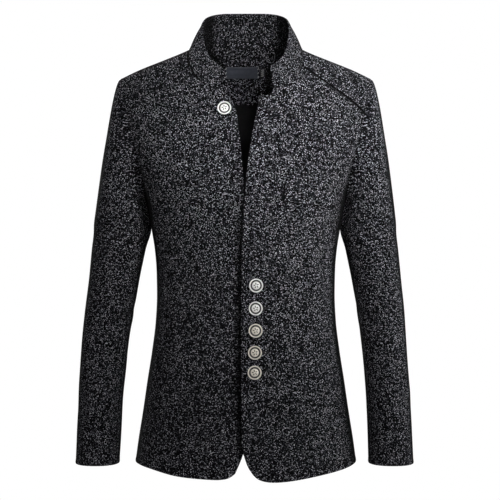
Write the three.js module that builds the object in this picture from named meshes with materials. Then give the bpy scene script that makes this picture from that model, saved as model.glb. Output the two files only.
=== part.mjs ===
import * as THREE from 'three';

// Stand-collar jacket, filled out as on a general figure, in millimetres.
// +Z is up, the front faces -Y, and +X is the wearer's left. The origin is the
// middle of the neck base, at the height of the side neck points.

// Driving sizes
const CLOTH = 2.0; // wall of the tweed with its lining
const COLLAR_CLOTH = 3.2; // two layers of tweed and the stiffening
const SEAM_GAP = 0.3;
const SEAM_LINE_Y = 6; // shoulder and side seams lie in this plane
const CHEST_Z = -255; // underarm level
const SHOULDER_Z = -49.5; // end of the shoulder seam
const SIDE_HEM_Z = -697;
const BACK_HEM_Z = -695;
const FRONT_ROLL = 120; // drop in which the front rounds away from the shoulder
const BACK_ROLL = 130;
const SIDE_POWER = 2.5; // squareness of the body's cross sections
const LAP_DEPTH = 3.2; // how far the right front lies under the left one
const LAP_START = 42; // the right front starts to sink this far before its edge
const LAP_WIDTH = 30;
const BUTTON_RADIUS = 11.7;

// Points deep inside the jacket, which tell a wall's outer face from its inner one
const BODY_CORE = { topZ: -60, drop: 30 };
const NECK_CORE = { y: -10, drop: 20 };
const ARM_CORE = { topZ: -140 };

const RIGHT = -1;
const LEFT = 1;
const FRONT = 'front';
const BACK = 'back';

// Half width of the body and the depth of its centre front and centre back
const TORSO = [
  { z: 40, half: 236, front: -50, back: 90 },
  { z: 12, half: 233, front: -58, back: 99 },
  { z: -25, half: 229, front: -67, back: 104 },
  { z: -50, half: 226, front: -76, back: 107 },
  { z: -87, half: 221, front: -91, back: 112 },
  { z: -113, half: 217, front: -99, back: 115 },
  { z: -150, half: 208, front: -110, back: 119 },
  { z: -200, half: 188.5, front: -121, back: 123 },
  { z: -235, half: 174.8, front: -125.5, back: 123 },
  { z: -255, half: 168.4, front: -127, back: 122 },
  { z: -280, half: 163.8, front: -127, back: 120 },
  { z: -303, half: 160.3, front: -125.5, back: 117 },
  { z: -340, half: 154.4, front: -123, back: 111 },
  { z: -374, half: 151.6, front: -121.5, back: 106 },
  { z: -416, half: 150.8, front: -121, back: 103 },
  { z: -459, half: 152.8, front: -121.5, back: 105 },
  { z: -510, half: 159, front: -122.5, back: 111 },
  { z: -561, half: 167, front: -124, back: 118 },
  { z: -612, half: 174.4, front: -125.5, back: 124 },
  { z: -663, half: 182.5, front: -127, back: 128 },
  { z: -720, half: 190, front: -128, back: 131 },
];

// Height of the shoulder line over the body, outwards from its middle
const RIDGE = [
  { x: 0, z: 38 },
  { x: 34, z: 33.4 },
  { x: 64, z: 21.7 },
  { x: 85, z: 9.3 },
  { x: 96.5, z: 1 },
  { x: 113, z: -6.6 },
  { x: 139, z: -17 },
  { x: 181.5, z: -34 },
  { x: 214, z: -49.5 },
  { x: 240, z: -62 },
];

// Armhole seam, seen from the front and back, as a share of the half width
const ARMHOLE = [
  { z: -49.5, front: 0.9465, back: 0.9465 },
  { z: -80, front: 0.937, back: 0.935 },
  { z: -113, front: 0.924, back: 0.926 },
  { z: -150, front: 0.916, back: 0.931 },
  { z: -200, front: 0.942, back: 0.955 },
  { z: -235, front: 0.976, back: 0.98 },
  { z: -255, front: 1, back: 1 },
];

// Collar seam on the body (x, z) and the collar's top edge above it
const COLLAR = [
  { x: 0, z: 12, topX: 0, topY: 56, topZ: 69.5 },
  { x: 34, z: 11.5, topX: 32, topY: 53.5, topZ: 69 },
  { x: 64, z: 8, topX: 56, topY: 46, topZ: 65.5 },
  { x: 85, z: 3.5, topX: 70, topY: 31, topZ: 57.5 },
  { x: 96.5, z: 1, topX: 73.5, topY: 12, topZ: 45.5 },
  { x: 97.5, z: -15, topX: 72.3, topY: -6, topZ: 27 },
  { x: 94, z: -31, topX: 69.5, topY: -22, topZ: 8 },
  { x: 87, z: -46, topX: 62.5, topY: -40, topZ: -12 },
  { x: 76, z: -59, topX: 52, topY: -55, topZ: -25 },
  { x: 62, z: -69, topX: 43, topY: -65, topZ: -33 },
  { x: 46, z: -72, topX: 35, topY: -74, topZ: -39 },
];
const SIDE_NECK = 4; // row of COLLAR at the shoulder seam
const YOKE_START = 6; // row of COLLAR where the yoke seam starts
const COLLAR_END = 10;
const LEFT_END_SHIFT = { x: 5.5, y: 4, z: 5.5 }; // the left end stands a little higher
const LEFT_SHIFT_START = 7; // row of COLLAR where that rise starts

// Yoke seam between the collar seam and the armhole
const YOKE_SEAM = [
  { x: 94, z: -31 },
  { x: 108, z: -40.4 },
  { x: 135, z: -60.5 },
  { x: 162, z: -79.5 },
  { x: 185.5, z: -98 },
  { x: 200.5, z: -113 },
];
const YOKE_END_Z = -113;

// Front edges from the top corner to the chest line, from there to the rounded
// corner, and the hem from that corner to the side seam. x is positive towards
// the front's own side and negative past the middle.
const FRONT_CUT = {
  [LEFT]: {
    upper: [
      { x: 23.3, z: -86.5 },
      { x: 17.3, z: -116 },
      { x: 10.4, z: -152 },
      { x: 6.4, z: -178 },
      { x: 2.2, z: -212 },
      { x: -1.2, z: -255 },
    ],
    lower: [
      { x: -1.2, z: -255 },
      { x: -4.2, z: -320 },
      { x: -5, z: -400 },
      { x: -5, z: -500 },
      { x: -5, z: -600 },
      { x: -4.6, z: -660 },
      { x: -1, z: -680 },
      { x: 4.5, z: -694.5 },
      { x: 12.5, z: -706.5 },
    ],
    hem: [
      { x: 12.5, z: -706.5 },
      { x: 21.5, z: -713.8 },
      { x: 36.4, z: -718 },
      { x: 56, z: -718.5 },
      { x: 85, z: -715.7 },
      { x: 133, z: -708 },
      { x: 166, z: -702 },
    ],
  },
  [RIGHT]: {
    upper: [
      { x: 24.5, z: -90 },
      { x: 15.4, z: -112 },
      { x: 11.1, z: -145 },
      { x: 7.6, z: -178 },
      { x: 4.4, z: -215 },
      { x: 0, z: -255 },
    ],
    lower: [
      { x: 0, z: -255 },
      { x: -12, z: -310 },
      { x: -23, z: -370 },
      { x: -27, z: -450 },
      { x: -26, z: -545 },
      { x: -16, z: -610 },
      { x: -1, z: -655 },
      { x: 6.5, z: -680 },
      { x: 17, z: -704.5 },
    ],
    hem: [
      { x: 17, z: -704.5 },
      { x: 25, z: -710.4 },
      { x: 36, z: -713.6 },
      { x: 58, z: -714.3 },
      { x: 112, z: -710.5 },
      { x: 156, z: -702 },
    ],
  },
};

// Sleeve rings below the sleeve head: middle and half width of each side's
// sleeve, and the middle and half depth from front to back
const SLEEVE = [
  { z: -275, rightX: 210.6, rightHalf: 43.6, leftX: 209.4, leftHalf: 42.6, y: 2, depth: 67 },
  { z: -303, rightX: 210, rightHalf: 47.3, leftX: 208.6, leftHalf: 46, y: 2.5, depth: 66 },
  { z: -340, rightX: 216.2, rightHalf: 45.2, leftX: 214.4, leftHalf: 44.3, y: 3, depth: 64 },
  { z: -391, rightX: 224.1, rightHalf: 42.5, leftX: 222.2, leftHalf: 41.6, y: 3, depth: 61 },
  { z: -442, rightX: 231.5, rightHalf: 41.5, leftX: 229, leftHalf: 40, y: 1.5, depth: 58 },
  { z: -493, rightX: 238, rightHalf: 39.9, leftX: 233.6, leftHalf: 38.4, y: -3, depth: 56 },
  { z: -543, rightX: 241.7, rightHalf: 39, leftX: 237.4, leftHalf: 37.4, y: -11, depth: 54 },
  { z: -593, rightX: 245.3, rightHalf: 38, leftX: 240.9, leftHalf: 37.9, y: -20, depth: 52 },
  { z: -643, rightX: 246.7, rightHalf: 37.4, leftX: 242.3, leftHalf: 37.4, y: -28, depth: 50 },
  { z: -697, rightX: 248.8, rightHalf: 36.4, leftX: 243.7, leftHalf: 37.6, y: -36, depth: 48 },
];
const SLEEVE_POWER = 2.2;
const SLEEVE_TOP_Z = -275;
const CUFF_Z = -697;
const SLEEVE_STEPS = 24; // points round the sleeve
const FRONT_SEAM_STEP = 10; // forearm seam, on the inner front
const BACK_SEAM_STEP = -7; // elbow seam, at the back

// Soft dents of the sleeves, which pull the wall in: angle 0 faces outwards,
// 90 to the front
const SLEEVE_DENTS = [
  { z: -330, angle: 70, depth: 2.2, tall: 30, wide: 45 },
  { z: -462, angle: 120, depth: 3.2, tall: 20, wide: 45 },
  { z: -520, angle: 95, depth: 2.6, tall: 22, wide: 40 },
  { z: -600, angle: 40, depth: 1.8, tall: 26, wide: 45 },
  { z: -400, angle: 300, depth: 2.4, tall: 28, wide: 40 },
  { z: -505, angle: 255, depth: 2.8, tall: 24, wide: 45 },
];

// Soft dents of the body, beside the button row, over the hips and at the back
const BODY_DENTS = [
  { face: FRONT, x: 100, z: -410, depth: 3.0, tall: 60, wide: 20 },
  { face: FRONT, x: -98, z: -405, depth: 3.0, tall: 60, wide: 20 },
  { face: FRONT, x: 70, z: -640, depth: 2.2, tall: 16, wide: 60 },
  { face: FRONT, x: -80, z: -635, depth: 2.2, tall: 18, wide: 55 },
  { face: BACK, x: 88, z: -400, depth: 3.2, tall: 60, wide: 22 },
  { face: BACK, x: -88, z: -400, depth: 3.2, tall: 60, wide: 22 },
];

// Columns and rows of the panels
const YOKE_ROWS = 4;
const YOKE_COLUMNS = 6;
const ARMHOLE_ROWS = 8; // front armhole below the yoke
const BACK_ARMHOLE_ROWS = 12;
const BODY_ROWS = 16;
const BACK_NECK_COLUMNS = 4;
const FRONT_NECK_COLUMNS = 4;
const LAPEL_COLUMNS = 2; // between the collar's end and the front corner
const HEAD_ROWS = 7;
const SLEEVE_ROWS = 13;
const COLLAR_ROWS = 4;

// Inside pieces, measured inwards from the outer face of the back
const FACING_IN = 3.4;
const FACING_CLOTH = 1.2;
const FACING_HALF = 122;
const FACING_DROP = 2; // its top edge lies this far under the collar seam
const FACING_EDGE = [
  { x: 0, z: -84 },
  { x: 30, z: -82 },
  { x: 62, z: -72 },
  { x: 92, z: -52 },
  { x: 122, z: -30 },
];
const LINING_CLOTH = 1.0;
const LINING_HEM_Z = -330;
const LABEL = { x: -7, z: -27.5, width: 58, height: 20, cloth: 0.8, columns: 6 };
const SIZE_TAB = { x: 29.5, z: -27.5, width: 9, height: 14, cloth: 0.8, columns: 2 };
const TAB_ROWS = 2;

// Breast welt on the left front: its top line, its height and their slopes
const WELT = { startX: 62, endX: 147, topZ: -232.5, slope: -0.1, height: 29.5, lean: -2, cloth: 1.4 };
const WELT_OFF = 0.6;

// Buttons: x, z on the front's outer face
const BUTTONS = [
  { name: 'button_top', x: -34.9, z: -107.7 },
  { name: 'button_1', x: 17.0, z: -397.8 },
  { name: 'button_2', x: 16.2, z: -435.2 },
  { name: 'button_3', x: 16.0, z: -471.4 },
  { name: 'button_4', x: 15.0, z: -507.2 },
  { name: 'button_5', x: 14.5, z: -539.6 },
];
const BUTTON_PROFILE = [
  { r: 0, h: 0 },
  { r: 3.2, h: 0 },
  { r: 3.2, h: 1.4 },
  { r: 9.6, h: 1.8 },
  { r: 11.2, h: 2.6 },
  { r: BUTTON_RADIUS, h: 3.5 },
  { r: 11.2, h: 4.3 },
  { r: 10.2, h: 4.4 },
  { r: 9.3, h: 3.7 },
  { r: 8.3, h: 3.8 },
  { r: 7.3, h: 4.5 },
  { r: 3.8, h: 5.1 },
  { r: 0, h: 5.3 },
];
const BUTTON_STEPS = 16;

const TWEED = { color: 0x35353a, roughness: 0.95, metalness: 0 };
const LINING = { color: 0x0a0a0b, roughness: 0.55, metalness: 0 };
const LABEL_WEAVE = { color: 0x2b2f3c, roughness: 0.6, metalness: 0 };
const PEWTER = { color: 0xb9b6ae, roughness: 0.35, metalness: 0.9 };

const range = (count) => Array.from({ length: count }, (_, i) => i);
const clamp01 = (value) => Math.min(Math.max(value, 0), 1);
const smooth = (value) => clamp01(value) ** 2 * (3 - 2 * clamp01(value));
const bell = (distance, spread) => Math.exp(-((distance / spread) ** 2));
const point = (x, y, z) => new THREE.Vector3(x, y, z);

// A smooth curve through one column of a table, without overshoot
function track(table, key, value) {
  const rows = [...table].sort((a, b) => a[key] - b[key]);
  const at = rows.map((row) => row[key]);
  const is = rows.map((row) => row[value]);
  const rise = range(rows.length - 1).map((i) => (is[i + 1] - is[i]) / (at[i + 1] - at[i]));
  const slope = range(rows.length).map((i) => {
    if (i === 0) return rise[0];
    if (i === rows.length - 1) return rise[i - 1];
    if (rise[i - 1] * rise[i] <= 0) return 0;
    return (2 * rise[i - 1] * rise[i]) / (rise[i - 1] + rise[i]);
  });
  return (where) => {
    const x = Math.min(Math.max(where, at[0]), at[at.length - 1]);
    let i = 0;
    while (i < rise.length - 1 && x > at[i + 1]) i += 1;
    const span = at[i + 1] - at[i];
    const t = (x - at[i]) / span;
    const low = (1 + 2 * t) * (1 - t) ** 2 * is[i] + t * (1 - t) ** 2 * span * slope[i];
    const high = t * t * (3 - 2 * t) * is[i + 1] + t * t * (t - 1) * span * slope[i + 1];
    return low + high;
  };
}

const halfWidth = track(TORSO, 'z', 'half');
const centreDepth = { [FRONT]: track(TORSO, 'z', 'front'), [BACK]: track(TORSO, 'z', 'back') };
const roll = { [FRONT]: FRONT_ROLL, [BACK]: BACK_ROLL };
const ridge = track(RIDGE, 'x', 'z');
const armholeShare = { [FRONT]: track(ARMHOLE, 'z', 'front'), [BACK]: track(ARMHOLE, 'z', 'back') };
const armholeX = (face, z) => armholeShare[face](z) * halfWidth(z);

// The body's outer face: how far it stands in front of or behind the side seam
function bodyPoint(face, x, z) {
  const across = Math.min(Math.abs(x) / halfWidth(z), 1);
  const drop = clamp01((ridge(Math.abs(x)) - z) / roll[face]);
  const round = Math.sqrt(1 - (1 - drop) ** 2);
  const fall = (1 - across ** SIDE_POWER) ** (1 / SIDE_POWER);
  let depth = (centreDepth[face](z) - SEAM_LINE_Y) * fall * round;
  for (const dent of BODY_DENTS) {
    if (dent.face !== face) continue;
    const pull = dent.depth * bell(x - dent.x, dent.wide) * bell(z - dent.z, dent.tall);
    depth -= Math.sign(depth) * pull * fall;
  }
  return point(x, SEAM_LINE_Y + depth, z);
}

const UPWARD_SHARE = 0.01; // decides the outward way on the shoulder line itself

function bodyNormal(face, x, z) {
  const step = 1;
  const middle = bodyPoint(face, x, z);
  const alongX = bodyPoint(face, x + step, z).sub(bodyPoint(face, x - step, z));
  const alongZ = bodyPoint(face, x, z + step).sub(bodyPoint(face, x, z - step));
  const normal = alongX.cross(alongZ).normalize();
  const outward = normal.y * (middle.y - SEAM_LINE_Y) + UPWARD_SHARE * normal.z >= 0 ? 1 : -1;
  return normal.multiplyScalar(outward);
}

// The right front sinks under the left one near its edge
function lapDepth(side, x) {
  return side === RIGHT ? LAP_DEPTH * smooth((x + LAP_START) / LAP_WIDTH) : 0;
}

function frontPoint(side, x, z) {
  const outer = bodyPoint(FRONT, x, z);
  outer.y += lapDepth(side, x);
  return outer;
}

// Places on the body are worked out as the angle round its half width, and z
const shareOut = (spot) => Math.max(-1, Math.min(spot.x / halfWidth(spot.z), 1));
const toAngle = (spot) => ({ a: Math.asin(shareOut(spot)), z: spot.z });
const fromAngle = (spot) => ({ x: Math.sin(spot.a) * halfWidth(spot.z), z: spot.z });

// Points along a smooth line through given spots, at shares of its length
function along(spots, shares) {
  const line = new THREE.SplineCurve(spots.map((spot) => new THREE.Vector2(spot.x, spot.z)));
  return shares.map((share) => {
    const at = line.getPointAt(share);
    return { x: at.x, z: at.y };
  });
}

const evenly = (steps) => range(steps + 1).map((i) => i / steps);
const squared = (steps) => evenly(steps).map((f) => f * f);
const closing = (steps) => evenly(steps).map((f) => Math.sin((f * Math.PI) / 2));
const eased = (steps) => evenly(steps).map((f) => (1 - Math.cos(f * Math.PI)) / 2);

// A panel between four edges: rows follow down, columns follow columnShares
function patch(first, last, top, bottom, down) {
  const columns = top.length - 1;
  const corner = { topFirst: top[0], topLast: top[columns], lowFirst: bottom[0], lowLast: bottom[columns] };
  const mix = (key, i, j) => {
    const t = down[i];
    const s = j / columns;
    const sides = (1 - s) * first[i][key] + s * last[i][key];
    const ends = (1 - t) * top[j][key] + t * bottom[j][key];
    const above = (1 - s) * corner.topFirst[key] + s * corner.topLast[key];
    const below = (1 - s) * corner.lowFirst[key] + s * corner.lowLast[key];
    return sides + ends - (1 - t) * above - t * below;
  };
  return down.map((_, i) => top.map((__, j) => ({ a: mix('a', i, j), z: mix('z', i, j) })));
}

// A wall of cloth under a grid of outer points. edges gives, for each border
// point, a shift along the cloth and a direction for the wall's thickness.
function wall(outer, cloth, edges, inside) {
  const rows = outer.length;
  const columns = outer[0].length;
  const at = (i, j) => outer[Math.min(Math.max(i, 0), rows - 1)][Math.min(Math.max(j, 0), columns - 1)];
  const normals = outer.map((row, i) => row.map((_, j) => {
    const acrossRow = at(i, j + 1).clone().sub(at(i, j - 1));
    const acrossColumn = at(i + 1, j).clone().sub(at(i - 1, j));
    return acrossRow.cross(acrossColumn).normalize();
  }));
  let facing = 0;
  outer.forEach((row, i) => row.forEach((spot, j) => {
    facing += normals[i][j].dot(spot.clone().sub(inside(spot)).normalize());
  }));
  normals.forEach((row) => row.forEach((normal) => normal.multiplyScalar(Math.sign(facing))));
  const skin = outer.map((row, i) => row.map((spot, j) => {
    const borders = [];
    if (i === 0 && edges.top) borders.push([edges.top[j], at(1, j)]);
    if (i === rows - 1 && edges.bottom) borders.push([edges.bottom[j], at(rows - 2, j)]);
    if (j === 0 && edges.first) borders.push([edges.first[i], at(i, 1)]);
    if (j === columns - 1 && edges.last) borders.push([edges.last[i], at(i, columns - 2)]);
    const face = spot.clone();
    let chosen = { normal: normals[i][j] };
    for (const [edge, neighbour] of borders) {
      if (!edge) continue;
      if (edge.shift) face.add(edge.shift);
      if (edge.plain) face.add(neighbour.clone().sub(spot).setLength(SEAM_GAP / 2));
      if (!chosen.leads) chosen = edge;
    }
    return { face, back: face.clone().sub(chosen.normal.clone().multiplyScalar(cloth)) };
  }));
  const vertices = [];
  skin.forEach((row) => row.forEach((pair) => vertices.push(...pair.face.toArray())));
  skin.forEach((row) => row.forEach((pair) => vertices.push(...pair.back.toArray())));
  const face = (i, j) => i * columns + j;
  const back = (i, j) => rows * columns + face(i, j);
  const triangles = [];
  const quad = (a, b, c, d) => triangles.push(a, b, c, a, c, d);
  for (let i = 0; i < rows - 1; i += 1) {
    for (let j = 0; j < columns - 1; j += 1) {
      quad(face(i, j), face(i, j + 1), face(i + 1, j + 1), face(i + 1, j));
      quad(back(i, j), back(i + 1, j), back(i + 1, j + 1), back(i, j + 1));
    }
    quad(face(i, 0), face(i + 1, 0), back(i + 1, 0), back(i, 0));
    quad(face(i, columns - 1), back(i, columns - 1), back(i + 1, columns - 1), face(i + 1, columns - 1));
  }
  for (let j = 0; j < columns - 1; j += 1) {
    quad(face(0, j), back(0, j), back(0, j + 1), face(0, j + 1));
    quad(face(rows - 1, j), face(rows - 1, j + 1), back(rows - 1, j + 1), back(rows - 1, j));
  }
  return closedGeometry(vertices, triangles);
}

// A geometry whose faces point out, whichever way round its grid was made
function closedGeometry(vertices, triangles) {
  const corner = (k) => point(vertices[3 * k], vertices[3 * k + 1], vertices[3 * k + 2]);
  let volume = 0;
  for (let k = 0; k < triangles.length; k += 3) {
    const [a, b, c] = [corner(triangles[k]), corner(triangles[k + 1]), corner(triangles[k + 2])];
    volume += a.dot(b.cross(c));
  }
  const geometry = new THREE.BufferGeometry();
  geometry.setAttribute('position', new THREE.Float32BufferAttribute(vertices, 3));
  geometry.setIndex(volume > 0 ? triangles : [...triangles].reverse());
  geometry.computeVertexNormals();
  return geometry;
}

// Both walls at a seam share its outward direction. At a plain seam each stops
// half the gap short of it, and at a leading one the shift is given.
const plainSeam = (normals) => normals.map((normal) => ({ normal, plain: true }));
const alsoPlain = (edge) => ({ ...edge, plain: true });

function shoulderNormal(side, x) {
  return point(-side * (ridge(x + 1) - ridge(x - 1)) / 2, 0, 1).normalize();
}

function sideNormal(side, z) {
  return point(side, 0, -(halfWidth(z + 1) - halfWidth(z - 1)) / 2).normalize();
}

const insideBody = (spot) => (
  point(0, SEAM_LINE_Y, Math.min(spot.z, BODY_CORE.topZ) - BODY_CORE.drop)
);

// Armhole seam of one side: step 0 at the shoulder, 12 under the arm, 24 back
// at the shoulder
const QUARTER = SLEEVE_STEPS / 4;
const UNDERARM = SLEEVE_STEPS / 2;

function armholeSpot(side, step) {
  const k = ((step % SLEEVE_STEPS) + SLEEVE_STEPS) % SLEEVE_STEPS;
  if (k <= UNDERARM) {
    const low = Math.sin(((k - YOKE_ROWS) / ARMHOLE_ROWS) * (Math.PI / 2));
    const z = k <= YOKE_ROWS
      ? SHOULDER_Z + (YOKE_END_Z - SHOULDER_Z) * (k / YOKE_ROWS) ** 2
      : YOKE_END_Z + (CHEST_Z - YOKE_END_Z) * low;
    return bodyPoint(FRONT, side * armholeX(FRONT, z), z);
  }
  const share = (1 - Math.cos(((SLEEVE_STEPS - k) / BACK_ARMHOLE_ROWS) * Math.PI)) / 2;
  const z = SHOULDER_Z + (CHEST_Z - SHOULDER_Z) * share;
  return bodyPoint(BACK, side * armholeX(BACK, z), z);
}

// The seam's outward direction, shared by both walls, and the way to the sleeve
const SHOULDER_FLARE = 0.45; // how far the seam's outward way leans sideways at the shoulder

function armholeFrame(side, step) {
  const spread = 0.25;
  const spot = armholeSpot(side, step);
  const tangent = armholeSpot(side, step + spread).sub(armholeSpot(side, step - spread));
  const angle = (step / QUARTER) * (Math.PI / 2);
  const sideways = side * SHOULDER_FLARE * (1 + Math.cos(angle));
  const normal = point(sideways, -Math.sin(angle), Math.cos(angle)).normalize();
  const toSleeve = tangent.cross(normal).normalize();
  if (toSleeve.x * side < 0) toSleeve.negate();
  return { spot, normal, toSleeve };
}

const armholeEdge = (side, steps, towards) => steps.map((step) => {
  const { normal, toSleeve } = armholeFrame(side, step);
  return { normal, shift: toSleeve.multiplyScalar((towards * SEAM_GAP) / 2), leads: true };
});

// Collar seam: step 0 at the centre back, 4 at the shoulder, 10 at the collar's end
const collarColumn = (key) => track(COLLAR.map((row, i) => ({ ...row, step: i })), 'step', key);
const seamX = collarColumn('x');
const seamZ = collarColumn('z');
const topColumn = { x: collarColumn('topX'), y: collarColumn('topY'), z: collarColumn('topZ') };

function collarSeamSpot(side, step) {
  const face = step <= SIDE_NECK ? BACK : FRONT;
  return bodyPoint(face, side * seamX(step), seamZ(step));
}

function collarTopSpot(side, step) {
  const shift = side === LEFT ? smooth((step - LEFT_SHIFT_START) / (COLLAR_END - LEFT_SHIFT_START)) : 0;
  return point(
    side * (topColumn.x(step) + shift * LEFT_END_SHIFT.x),
    topColumn.y(step) + shift * LEFT_END_SHIFT.y,
    topColumn.z(step) + shift * LEFT_END_SHIFT.z,
  );
}

function collarFrame(side, step) {
  const spread = 0.05;
  const here = Math.min(Math.max(step, spread), COLLAR_END - spread);
  const tangent = collarSeamSpot(side, here + spread).sub(collarSeamSpot(side, here - spread)).normalize();
  const up = collarTopSpot(side, step).sub(collarSeamSpot(side, step)).normalize();
  const standing = tangent.clone().cross(up).multiplyScalar(-side).normalize();
  const face = step <= SIDE_NECK ? BACK : FRONT;
  const lying = bodyNormal(face, side * seamX(here), seamZ(here));
  const normal = standing.add(lying).normalize();
  if (step === 0) normal.setX(0).normalize();
  const toCollar = tangent.clone().cross(normal).normalize();
  if (step === 0) toCollar.setX(0).normalize();
  if (toCollar.z < 0) toCollar.negate();
  return { normal, toCollar };
}

const neckEdge = (side, steps, towards) => steps.map((step) => {
  const { normal, toCollar } = collarFrame(side, step);
  return { normal, shift: toCollar.multiplyScalar((towards * SEAM_GAP) / 2), leads: true };
});

// Steps of the collar seam that meet the rows of the yoke
const yokeNeckSteps = squared(YOKE_ROWS).map((f) => SIDE_NECK + (YOKE_START - SIDE_NECK) * f);
const seamSpot = (step) => ({ x: seamX(step), z: seamZ(step) });
const shoulderSpots = evenly(YOKE_COLUMNS).map((f) => {
  const x = COLLAR[SIDE_NECK].x + (armholeX(FRONT, SHOULDER_Z) - COLLAR[SIDE_NECK].x) * f;
  return { x, z: ridge(x) };
});
const yokeSeamSpots = along(YOKE_SEAM, evenly(YOKE_COLUMNS));
const armholeSpots = (side, steps) => steps.map((step) => {
  const spot = armholeSpot(side, step);
  return { x: Math.abs(spot.x), z: spot.z };
});

const shoulderSeam = (side) => plainSeam(shoulderSpots.map((spot) => shoulderNormal(side, spot.x)));
const yokeSeam = (side) => plainSeam(yokeSeamSpots.map((spot) => bodyNormal(FRONT, side * spot.x, spot.z)));

function yoke(side) {
  const steps = range(YOKE_ROWS + 1);
  const grid = patch(
    yokeNeckSteps.map(seamSpot).map(toAngle),
    armholeSpots(side, steps).map(toAngle),
    shoulderSpots.map(toAngle),
    yokeSeamSpots.map(toAngle),
    squared(YOKE_ROWS),
  );
  const outer = grid.map((row) => (
    row.map(fromAngle).map((spot) => bodyPoint(FRONT, side * spot.x, spot.z))
  ));
  return wall(outer, CLOTH, {
    top: shoulderSeam(side),
    bottom: yokeSeam(side),
    first: neckEdge(side, yokeNeckSteps, -1),
    last: armholeEdge(side, steps, -1),
  }, insideBody);
}

const chestLine = (columns, startX) => {
  const start = Math.asin(startX / halfWidth(CHEST_Z));
  return evenly(columns).map((f) => ({ a: start + (Math.PI / 2 - start) * f, z: CHEST_Z }));
};
const sideSeam = evenly(BODY_ROWS).map((f) => ({
  a: Math.PI / 2,
  z: CHEST_Z + (SIDE_HEM_Z - CHEST_Z) * f,
}));

const sideEdge = (side) => plainSeam(sideSeam.slice(1).map((spot) => sideNormal(side, spot.z)));

function front(side) {
  const cut = FRONT_CUT[side];
  const corner = cut.upper[0];
  const collarEnd = seamSpot(COLLAR_END);
  const lapelTop = range(LAPEL_COLUMNS).map((i) => ({
    x: corner.x + ((collarEnd.x - corner.x) * i) / LAPEL_COLUMNS,
    z: corner.z + ((collarEnd.z - corner.z) * i) / LAPEL_COLUMNS,
  }));
  const neckSteps = range(FRONT_NECK_COLUMNS).map((i) => COLLAR_END - i);
  const top = [...lapelTop, ...neckSteps.map(seamSpot), ...yokeSeamSpots].map(toAngle);
  const columns = top.length - 1;
  const steps = range(ARMHOLE_ROWS + 1).map((i) => YOKE_ROWS + i);
  const down = closing(ARMHOLE_ROWS);
  const chest = chestLine(columns, cut.lower[0].x);
  const upper = patch(
    along(cut.upper, down).map(toAngle),
    armholeSpots(side, steps).map(toAngle),
    top,
    chest,
    down,
  );
  const hem = along([...cut.hem, { x: halfWidth(SIDE_HEM_Z), z: SIDE_HEM_Z }], evenly(columns));
  const lower = patch(
    along(cut.lower, evenly(BODY_ROWS)).map(toAngle),
    sideSeam,
    chest,
    hem.map(toAngle),
    evenly(BODY_ROWS),
  );
  const grid = [...upper, ...lower.slice(1)];
  const outer = grid.map((row) => (
    row.map(fromAngle).map((spot) => frontPoint(side, side * spot.x, spot.z))
  ));
  const free = range(LAPEL_COLUMNS).map(() => null);
  const neck = neckEdge(side, [...neckSteps, YOKE_START], -1);
  const armhole = armholeEdge(side, steps, -1);
  return wall(outer, CLOTH, {
    top: [...free, ...neck.slice(0, -1), alsoPlain(neck.at(-1)), ...yokeSeam(side).slice(1)],
    last: [...armhole.slice(0, -1), alsoPlain(armhole.at(-1)), ...sideEdge(side)],
  }, insideBody);
}

function back(side) {
  const neckSteps = range(BACK_NECK_COLUMNS);
  const top = [...neckSteps.map(seamSpot), ...shoulderSpots].map(toAngle);
  const columns = top.length - 1;
  const down = eased(BACK_ARMHOLE_ROWS);
  const steps = range(BACK_ARMHOLE_ROWS + 1).map((i) => SLEEVE_STEPS - i);
  const chest = chestLine(columns, 0);
  const centreTop = COLLAR[0].z;
  const upper = patch(
    down.map((f) => ({ a: 0, z: centreTop + (CHEST_Z - centreTop) * f })),
    armholeSpots(side, steps).map(toAngle),
    top,
    chest,
    down,
  );
  const hem = evenly(columns).map((f) => ({
    a: (f * Math.PI) / 2,
    z: BACK_HEM_Z + (SIDE_HEM_Z - BACK_HEM_Z) * f,
  }));
  const lower = patch(
    evenly(BODY_ROWS).map((f) => ({ a: 0, z: CHEST_Z + (BACK_HEM_Z - CHEST_Z) * f })),
    sideSeam,
    chest,
    hem,
    evenly(BODY_ROWS),
  );
  const grid = [...upper, ...lower.slice(1)];
  const outer = grid.map((row) => (
    row.map(fromAngle).map((spot) => bodyPoint(BACK, side * spot.x, spot.z))
  ));
  const neck = neckEdge(side, [...neckSteps, SIDE_NECK], -1);
  const armhole = armholeEdge(side, steps, -1);
  return wall(outer, CLOTH, {
    top: [...neck.slice(0, -1), alsoPlain(neck.at(-1)), ...shoulderSeam(side).slice(1)],
    first: plainSeam(grid.map((row) => bodyNormal(BACK, 0, row[0].z))),
    last: [...armhole.slice(0, -1), alsoPlain(armhole.at(-1)), ...sideEdge(side)],
  }, insideBody);
}

const sleeveTrack = {
  [RIGHT]: { x: track(SLEEVE, 'z', 'rightX'), half: track(SLEEVE, 'z', 'rightHalf') },
  [LEFT]: { x: track(SLEEVE, 'z', 'leftX'), half: track(SLEEVE, 'z', 'leftHalf') },
};
const sleeveY = track(SLEEVE, 'z', 'y');
const sleeveDepth = track(SLEEVE, 'z', 'depth');

function sleeveRingPoint(side, step, z) {
  const angle = (step / SLEEVE_STEPS) * 2 * Math.PI;
  const power = 2 / SLEEVE_POWER;
  const outward = Math.sign(Math.cos(angle)) * Math.abs(Math.cos(angle)) ** power;
  const forward = Math.sign(Math.sin(angle)) * Math.abs(Math.sin(angle)) ** power;
  const degrees = (((angle * 180) / Math.PI) % 360 + 360) % 360;
  let dent = 0;
  for (const row of SLEEVE_DENTS) {
    const turn = Math.min(Math.abs(degrees - row.angle), 360 - Math.abs(degrees - row.angle));
    dent += row.depth * bell(turn, row.wide) * bell(z - row.z, row.tall);
  }
  const half = sleeveTrack[side].half(z) - dent;
  const depth = sleeveDepth(z) - dent;
  return point(side * (sleeveTrack[side].x(z) + half * outward), sleeveY(z) - depth * forward, z);
}

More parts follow.
